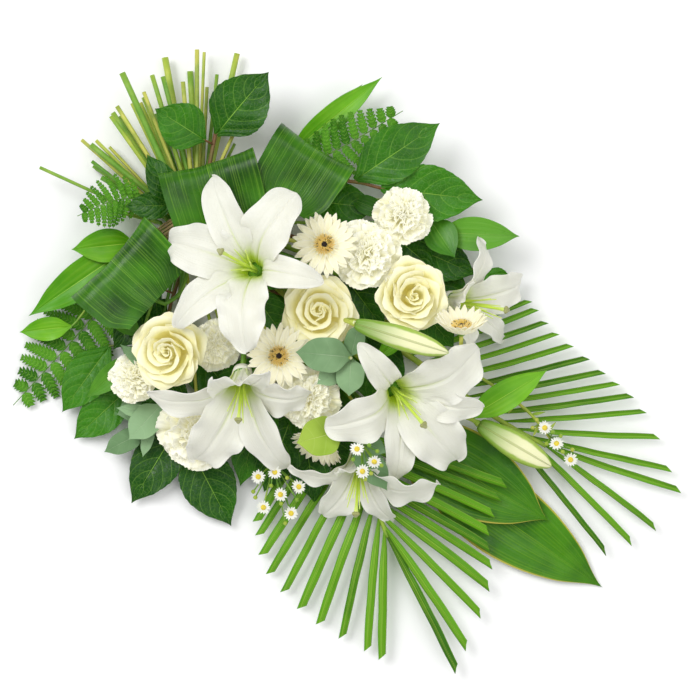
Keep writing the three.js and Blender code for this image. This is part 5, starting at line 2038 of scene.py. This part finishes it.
GERBERAS = (
    Gerbera("gerbera_1", Pose((-22, 120, 92), 6, 120), 34, Stem((1.9, 4), (159, 92))),
    Gerbera("gerbera_2", Pose((-67, 11, 88), 8, -120), 34, Stem((-0.6, 4), (132, 122))),
    Gerbera("gerbera_3", Pose((113, 35, 101), 62, 90), 32, Stem((1.3, 4), (130, 97), ((70, 14, 58),)), 46),
    Gerbera("gerbera_4", Pose((-26, -73, 48), 62, -118), 32,
            Stem((-1.1, 4), (127, 125), ((-50, -30, 34),)), 40),
)

BUNCHES = (
    StemBunch("rose_stem_1", ("rose_1",), 3.0),
    StemBunch("rose_stems_2", ("rose_2", "rose_3"), 3.0),
    StemBunch("carnation_stems_1", ("carnation_1", "carnation_2"), 2.3, True),
    StemBunch("carnation_stems_2", ("carnation_3", "carnation_5", "carnation_6"), 2.3, True),
    StemBunch("carnation_stem_3", ("carnation_4",), 2.3, True),
    StemBunch("gerbera_stems_1", ("gerbera_1", "gerbera_3"), 2.8),
    StemBunch("gerbera_stems_2", ("gerbera_2", "gerbera_4"), 2.8),
)

ASTERS = (
    AsterSpray("aster_1", Stem((-2, 1), (105, 132), ((-100, -30, 20), (-74, -98, 34))), (
        (-89, -111, 46), (-72, -106, 52), (-48, -121, 44), (-67, -129, 44), (-84, -142, 38),
        (-56, -148, 36)), (
        (-66, -138, 42), (-94, -126, 40), (-50, -134, 44), (-60, -112, 46), (-62, -158, 34),
        (-76, -120, 46), (-92, -132, 38))),
    AsterSpray("aster_2", Stem((0, 1), (126, 114), ((-2, -24, 22), (14, -56, 60), (14, -76, 86))), (
        (10, -82, 102), (27, -94, 100), (15, -104, 98)), (
        (22, -78, 104), (30, -84, 102), (6, -92, 102), (24, -106, 96), (34, -98, 98), (18, -112, 94))),
    AsterSpray("aster_3", Stem((2, 1), (158, 90), ((100, 10, 22), (180, -44, 30), (204, -72, 34))), (
        (198, -62, 46), (210, -78, 44), (224, -94, 40)), (
        (190, -54, 44), (216, -86, 46), (206, -66, 50), (214, -70, 44), (200, -78, 42), (226, -84, 40),
        (186, -62, 42))),
)

LOOPS = (
    FoldedLeaf("aspidistra_loop_1", (-140, 201), 106, 98, 66, Stem(
        (-1.25, 5), (22, 124), ((-150, 118, 49), (-136, 104, 55), (-122, 114, 58)))),
    FoldedLeaf("aspidistra_loop_2", (-30, 217), 58, 86, 50, Stem(
        (1, 5), (26, 100), ((-126, 149, 49), (-98, 158, 55)))),
    FoldedLeaf("aspidistra_loop_3", (-235, 106), 137, 108, 45, Stem(
        (-2, 5), (22, 135), ((-160, 100, 47), (-168, 72, 53), (-182, 62, 56)))),
)

PALMS = (
    PalmFrond("palm_frond_1", Stem(
        (-1, 0), (125, 122), ((-60, 0, 8), (-7, -74, 12), (25, -134, 16), (41, -173, 16))), (
        Fan(10, 0.62, 0.98, ((-91, -160, 12), (-80, -212, 8), (-30, -262, 8), (36, -297, 12)), 20),
        Fan(10, 0.66, 1, ((160, -127, 30), (143, -172, 26), (146, -224, 18), (112, -309, 16)), -20))),
    PalmFrond("palm_frond_2", Stem(
        (2, 0), (140, 96), ((-40, 80, 8), (83, -4, 12), (153, -54, 12), (201, -81, 14))), (
        Fan(13, 0.56, 0.98, ((186, 68, 16), (214, 34, 12), (261, -5, 10), (303, -46, 10), (338, -127, 12)),
            20),
        Fan(3, 0.86, 1, ((261, -192, 14), (288, -181, 12), (313, -165, 12)), -20)), 6.4),
)

FERNS = (
    FernFrond("fern_frond_1", Stem((-4, 0), (80, 152), (
        (-212, 100, 5), (-238, 74, 5), (-262, 44, 5), (-292, 10, 5), (-338, -40, 4))), 8, 44),
    FernFrond("fern_frond_2", Stem((-3, 4), (16, -80), (
        (-192, 162, 40), (-208, 168, 44), (-232, 166, 48), (-270, 150, 50)), back=True), 7, 28),
    FernFrond("fern_frond_3", Stem((4, 2), (60, 72), (
        (-90, 176, 26), (-44, 202, 32), (-8, 218, 36), (56, 256, 38))), 8, 32),
)

LEAFY = (
    LeafyStem("aspidistra_leaves", Habit.ASPIDISTRA, Stem(
        (0.25, 0), (110, 110), ((-60, 40, 4), (30, -50, 4), (78, -98, 4))), (
        Leaf((76, -96, 4), (258, -224, 3), 80, 3), Leaf((52, -70, 10), (203, -156, 12), 85, 6),
        Leaf((-118, 104, 3), (12, -52, 2.4), 92, 1)), 2.2),
    LeafyStem("salal_left", Habit.SALAL, Stem(
        (-2.75, 0), (100, 143), ((-170, 60, 8), (-172, -30, 10), (-160, -80, 10))), (
        Leaf((-240, 20, 12), (-288, -47, 12), 45, 8), Leaf((-222, -24, 10), (-276, -74, 8), 42, 8),
        Leaf((-170, -60, 10), (-218, -139, 9), 50, 8), Leaf((-160, -80, 10), (-117, -162, 9), 56, 8),
        Leaf((-167, 33, 8.4), (-104, -44, 5), 54, 3)), woody=True),
    LeafyStem("salal_top", Habit.SALAL, Stem(
        (3, 4), (110, 83), ((-90, 168, 42), (-30, 186, 44), (10, 184, 46), (34, 178, 48))), (
        Leaf((-142, 226, 48), (-192, 257, 60), 48), Leaf((-131, 232, 42), (-78, 294, 56), 60),
        Leaf((8, 186, 46), (93, 243, 50), 54), Leaf((34, 178, 49), (136, 166, 52), 58, 4)), woody=True),
    LeafyStem("salal_right", Habit.SALAL, Stem(
        (3, 0), (118, 83), ((0, 120, 8), (100, 100, 12), (138, 96, 20))), (
        Leaf((138, 96, 20), (166, 74, 24), 26), Leaf((16, 118, 8), (52, 52, 4), 54, 3),
        Leaf((72, 106, 10), (118, 44, 6), 54, 3)), woody=True),
    LeafyStem("light_leaves", Habit.BRIGHT, Stem((-4, 1), (60, 158), ((-190, 116, 18), (-214, 124, 22))), (
        Leaf((-212, 124, 22), (-321, 50, 24), 38, 8), Leaf((-214, 124, 22), (-277, 117, 34), 34, 8),
        Leaf((-278, 40, 16), (-331, 34, 14), 24, 8))),
    LeafyStem("ruscus_left", Habit.RUSCUS, Stem(
        (-4, 3), (142, 153), ((-184, 96, 31), (-200, 50, 38), (-212, 10, 40))), (
        Leaf((-212, 10, 40), (-262, -32, 34), 24), Leaf((-206, 30, 40), (-248, 63, 40), 20),
        Leaf((-186, 76, 38), (-214, 73, 46), 24)), 1.6),
    LeafyStem("ruscus_right", Habit.RUSCUS, Stem(
        (3.4, 3), (118, 70), ((-90, 172, 32), (16, 168, 36), (76, 158, 38), (94, 134, 42))), (
        Leaf((92, 134, 42), (173, 130, 46), 34), Leaf((84, 146, 40), (108, 108, 56), 34),
        Leaf((4, 168, 36), (43, 152, 38), 20)), 1.8),
    LeafyStem("lily_leaves", Habit.LANCE, Stem((4.15, 1), (40, 64), ((-96, 180, 16), (-50, 222, 18))), (
        Leaf((-50, 222, 18), (16, 284, 24), 18, 8), Leaf((-60, 212, 18), (36, 291, 30), 26, 4)), 2.6),
    LeafyStem("eucalyptus_left", Habit.EUCALYPTUS, Stem(
        (-3, 1), (102, 142), ((-178, 60, 14), (-194, -20, 16), (-206, -70, 18))), (
        Leaf((-205, -66, 18), (-245, -87, 20), 22), Leaf((-198, -38, 17), (-232, -49, 20), 24),
        Leaf((-190, -4, 16), (-229, 20, 20), 17), Leaf((-187, -39, 30), (-219, -74, 34), 30),
        Leaf((-187, -49, 26), (-232, -42, 36), 14), Leaf((-180, -14, 56), (-227, 22, 60), 15, 16),
        Leaf((-196, -56, 20), (-206, -92, 22), 12)), 1.6),
    LeafyStem("eucalyptus_centre", Habit.EUCALYPTUS, Stem(
        (0.4, 4), (132, 112), ((-66, 62, 42), (-12, 12, 56), (4, 8, 90))), (
        Leaf((4, 9, 86), (-51, 14, 104), 34), Leaf((4, 8, 80), (2, -30, 92), 28),
        Leaf((4, 10, 84), (12, 42, 90), 20), Leaf((2, 4, 78), (-30, -18, 82), 22)), 1.8),
    LeafyStem("eucalyptus_low", Habit.LIME, Stem(
        (0, 2), (129, 112), ((-40, -30, 26), (-2, -62, 40), (-4, -62, 84))), (
        Leaf((-4, -64, 84), (-50, -76, 92), 38),), 1.8),
)

UNDERLEAVES = (
    Underleaves("underleaves_centre", (
        (-146, 132, 22), (-104, 92, 22), (-50, 70, 22), (-6, 96, 24), (10, 130, 26)), (
        Leaf((-36, 166, 32), (30, 158, 36), 44), Leaf((34, 142, 28), (88, 96, 30), 46),
        Leaf((-10, 100, 28), (38, 36, 28), 48), Leaf((-34, 62, 20), (24, 10, 20), 50),
        Leaf((0, 50, 18), (58, -30, 18), 54), Leaf((4, 30, 24), (34, -42, 24), 38),
        Leaf((62, 122, 20), (130, 92, 22), 46), Leaf((66, 68, 22), (108, 18, 24), 42))),
    Underleaves("underleaves_middle", (
        (-138, 122, 52), (-112, 100, 50), (-96, 76, 48)), (
        Leaf((-98, 78, 48), (-54, 18, 50), 38), Leaf((-106, 96, 50), (-42, 92, 52), 36))),
    Underleaves("underleaves_low", (
        (-148, 136, 16), (-112, 70, 14), (-78, 6, 16), (-56, -46, 18)), (
        Leaf((-52, -40, 18), (-84, -128, 18), 54), Leaf((-46, -46, 16), (-32, -140, 14), 48),
        Leaf((-84, 10, 14), (-140, -70, 14), 52), Leaf((-60, -30, 18), (10, -110, 14), 50),
        Leaf((-82, -24, 18), (-108, -122, 14), 48), Leaf((-54, -20, 20), (8, -62, 22), 36))),
    Underleaves("underleaves_left", (
        (-150, 138, 24), (-168, 92, 24), (-182, 40, 24), (-180, -10, 22)), (
        Leaf((-188, 78, 22), (-236, 16, 24), 42), Leaf((-172, -2, 24), (-198, -70, 22), 46),
        Leaf((-182, 66, 18), (-226, 30, 20), 40))),
    Underleaves("underleaves_tie", (
        (-150, 128, 52), (-160, 146, 55), (-172, 160, 57)), (
        Leaf((-168, 156, 57), (-200, 212, 58), 32), Leaf((-172, 160, 57), (-222, 160, 56), 28))),
    Underleaves("eucalyptus_tips", ((-4, -62, 78), (2, -66, 77), (8, -72, 75)), (
        Leaf((8, -72, 75), (40, -124, 72), 27), Leaf((5, -69, 76), (40, -86, 84), 20)), Habit.EUCALYPTUS),
)


def main() -> None:
    """Dresses the sheaf, sub-assembly by sub-assembly."""
    logging.basicConfig(level=logging.INFO, format="%(name)s: %(message)s")
    build_groups()
    Studio().build()
    heads = (*ROSES, *CARNATIONS, *GERBERAS)
    for part in (*LILIES, *heads, *ASTERS, *LOOPS, *PALMS, *FERNS, *LEAFY, *UNDERLEAVES, Tie()):
        part.build()
    flowers = {head.name: head for head in heads}
    for bunch in BUNCHES:
        bunch.build(flowers)


if __name__ == "__main__":
    main()
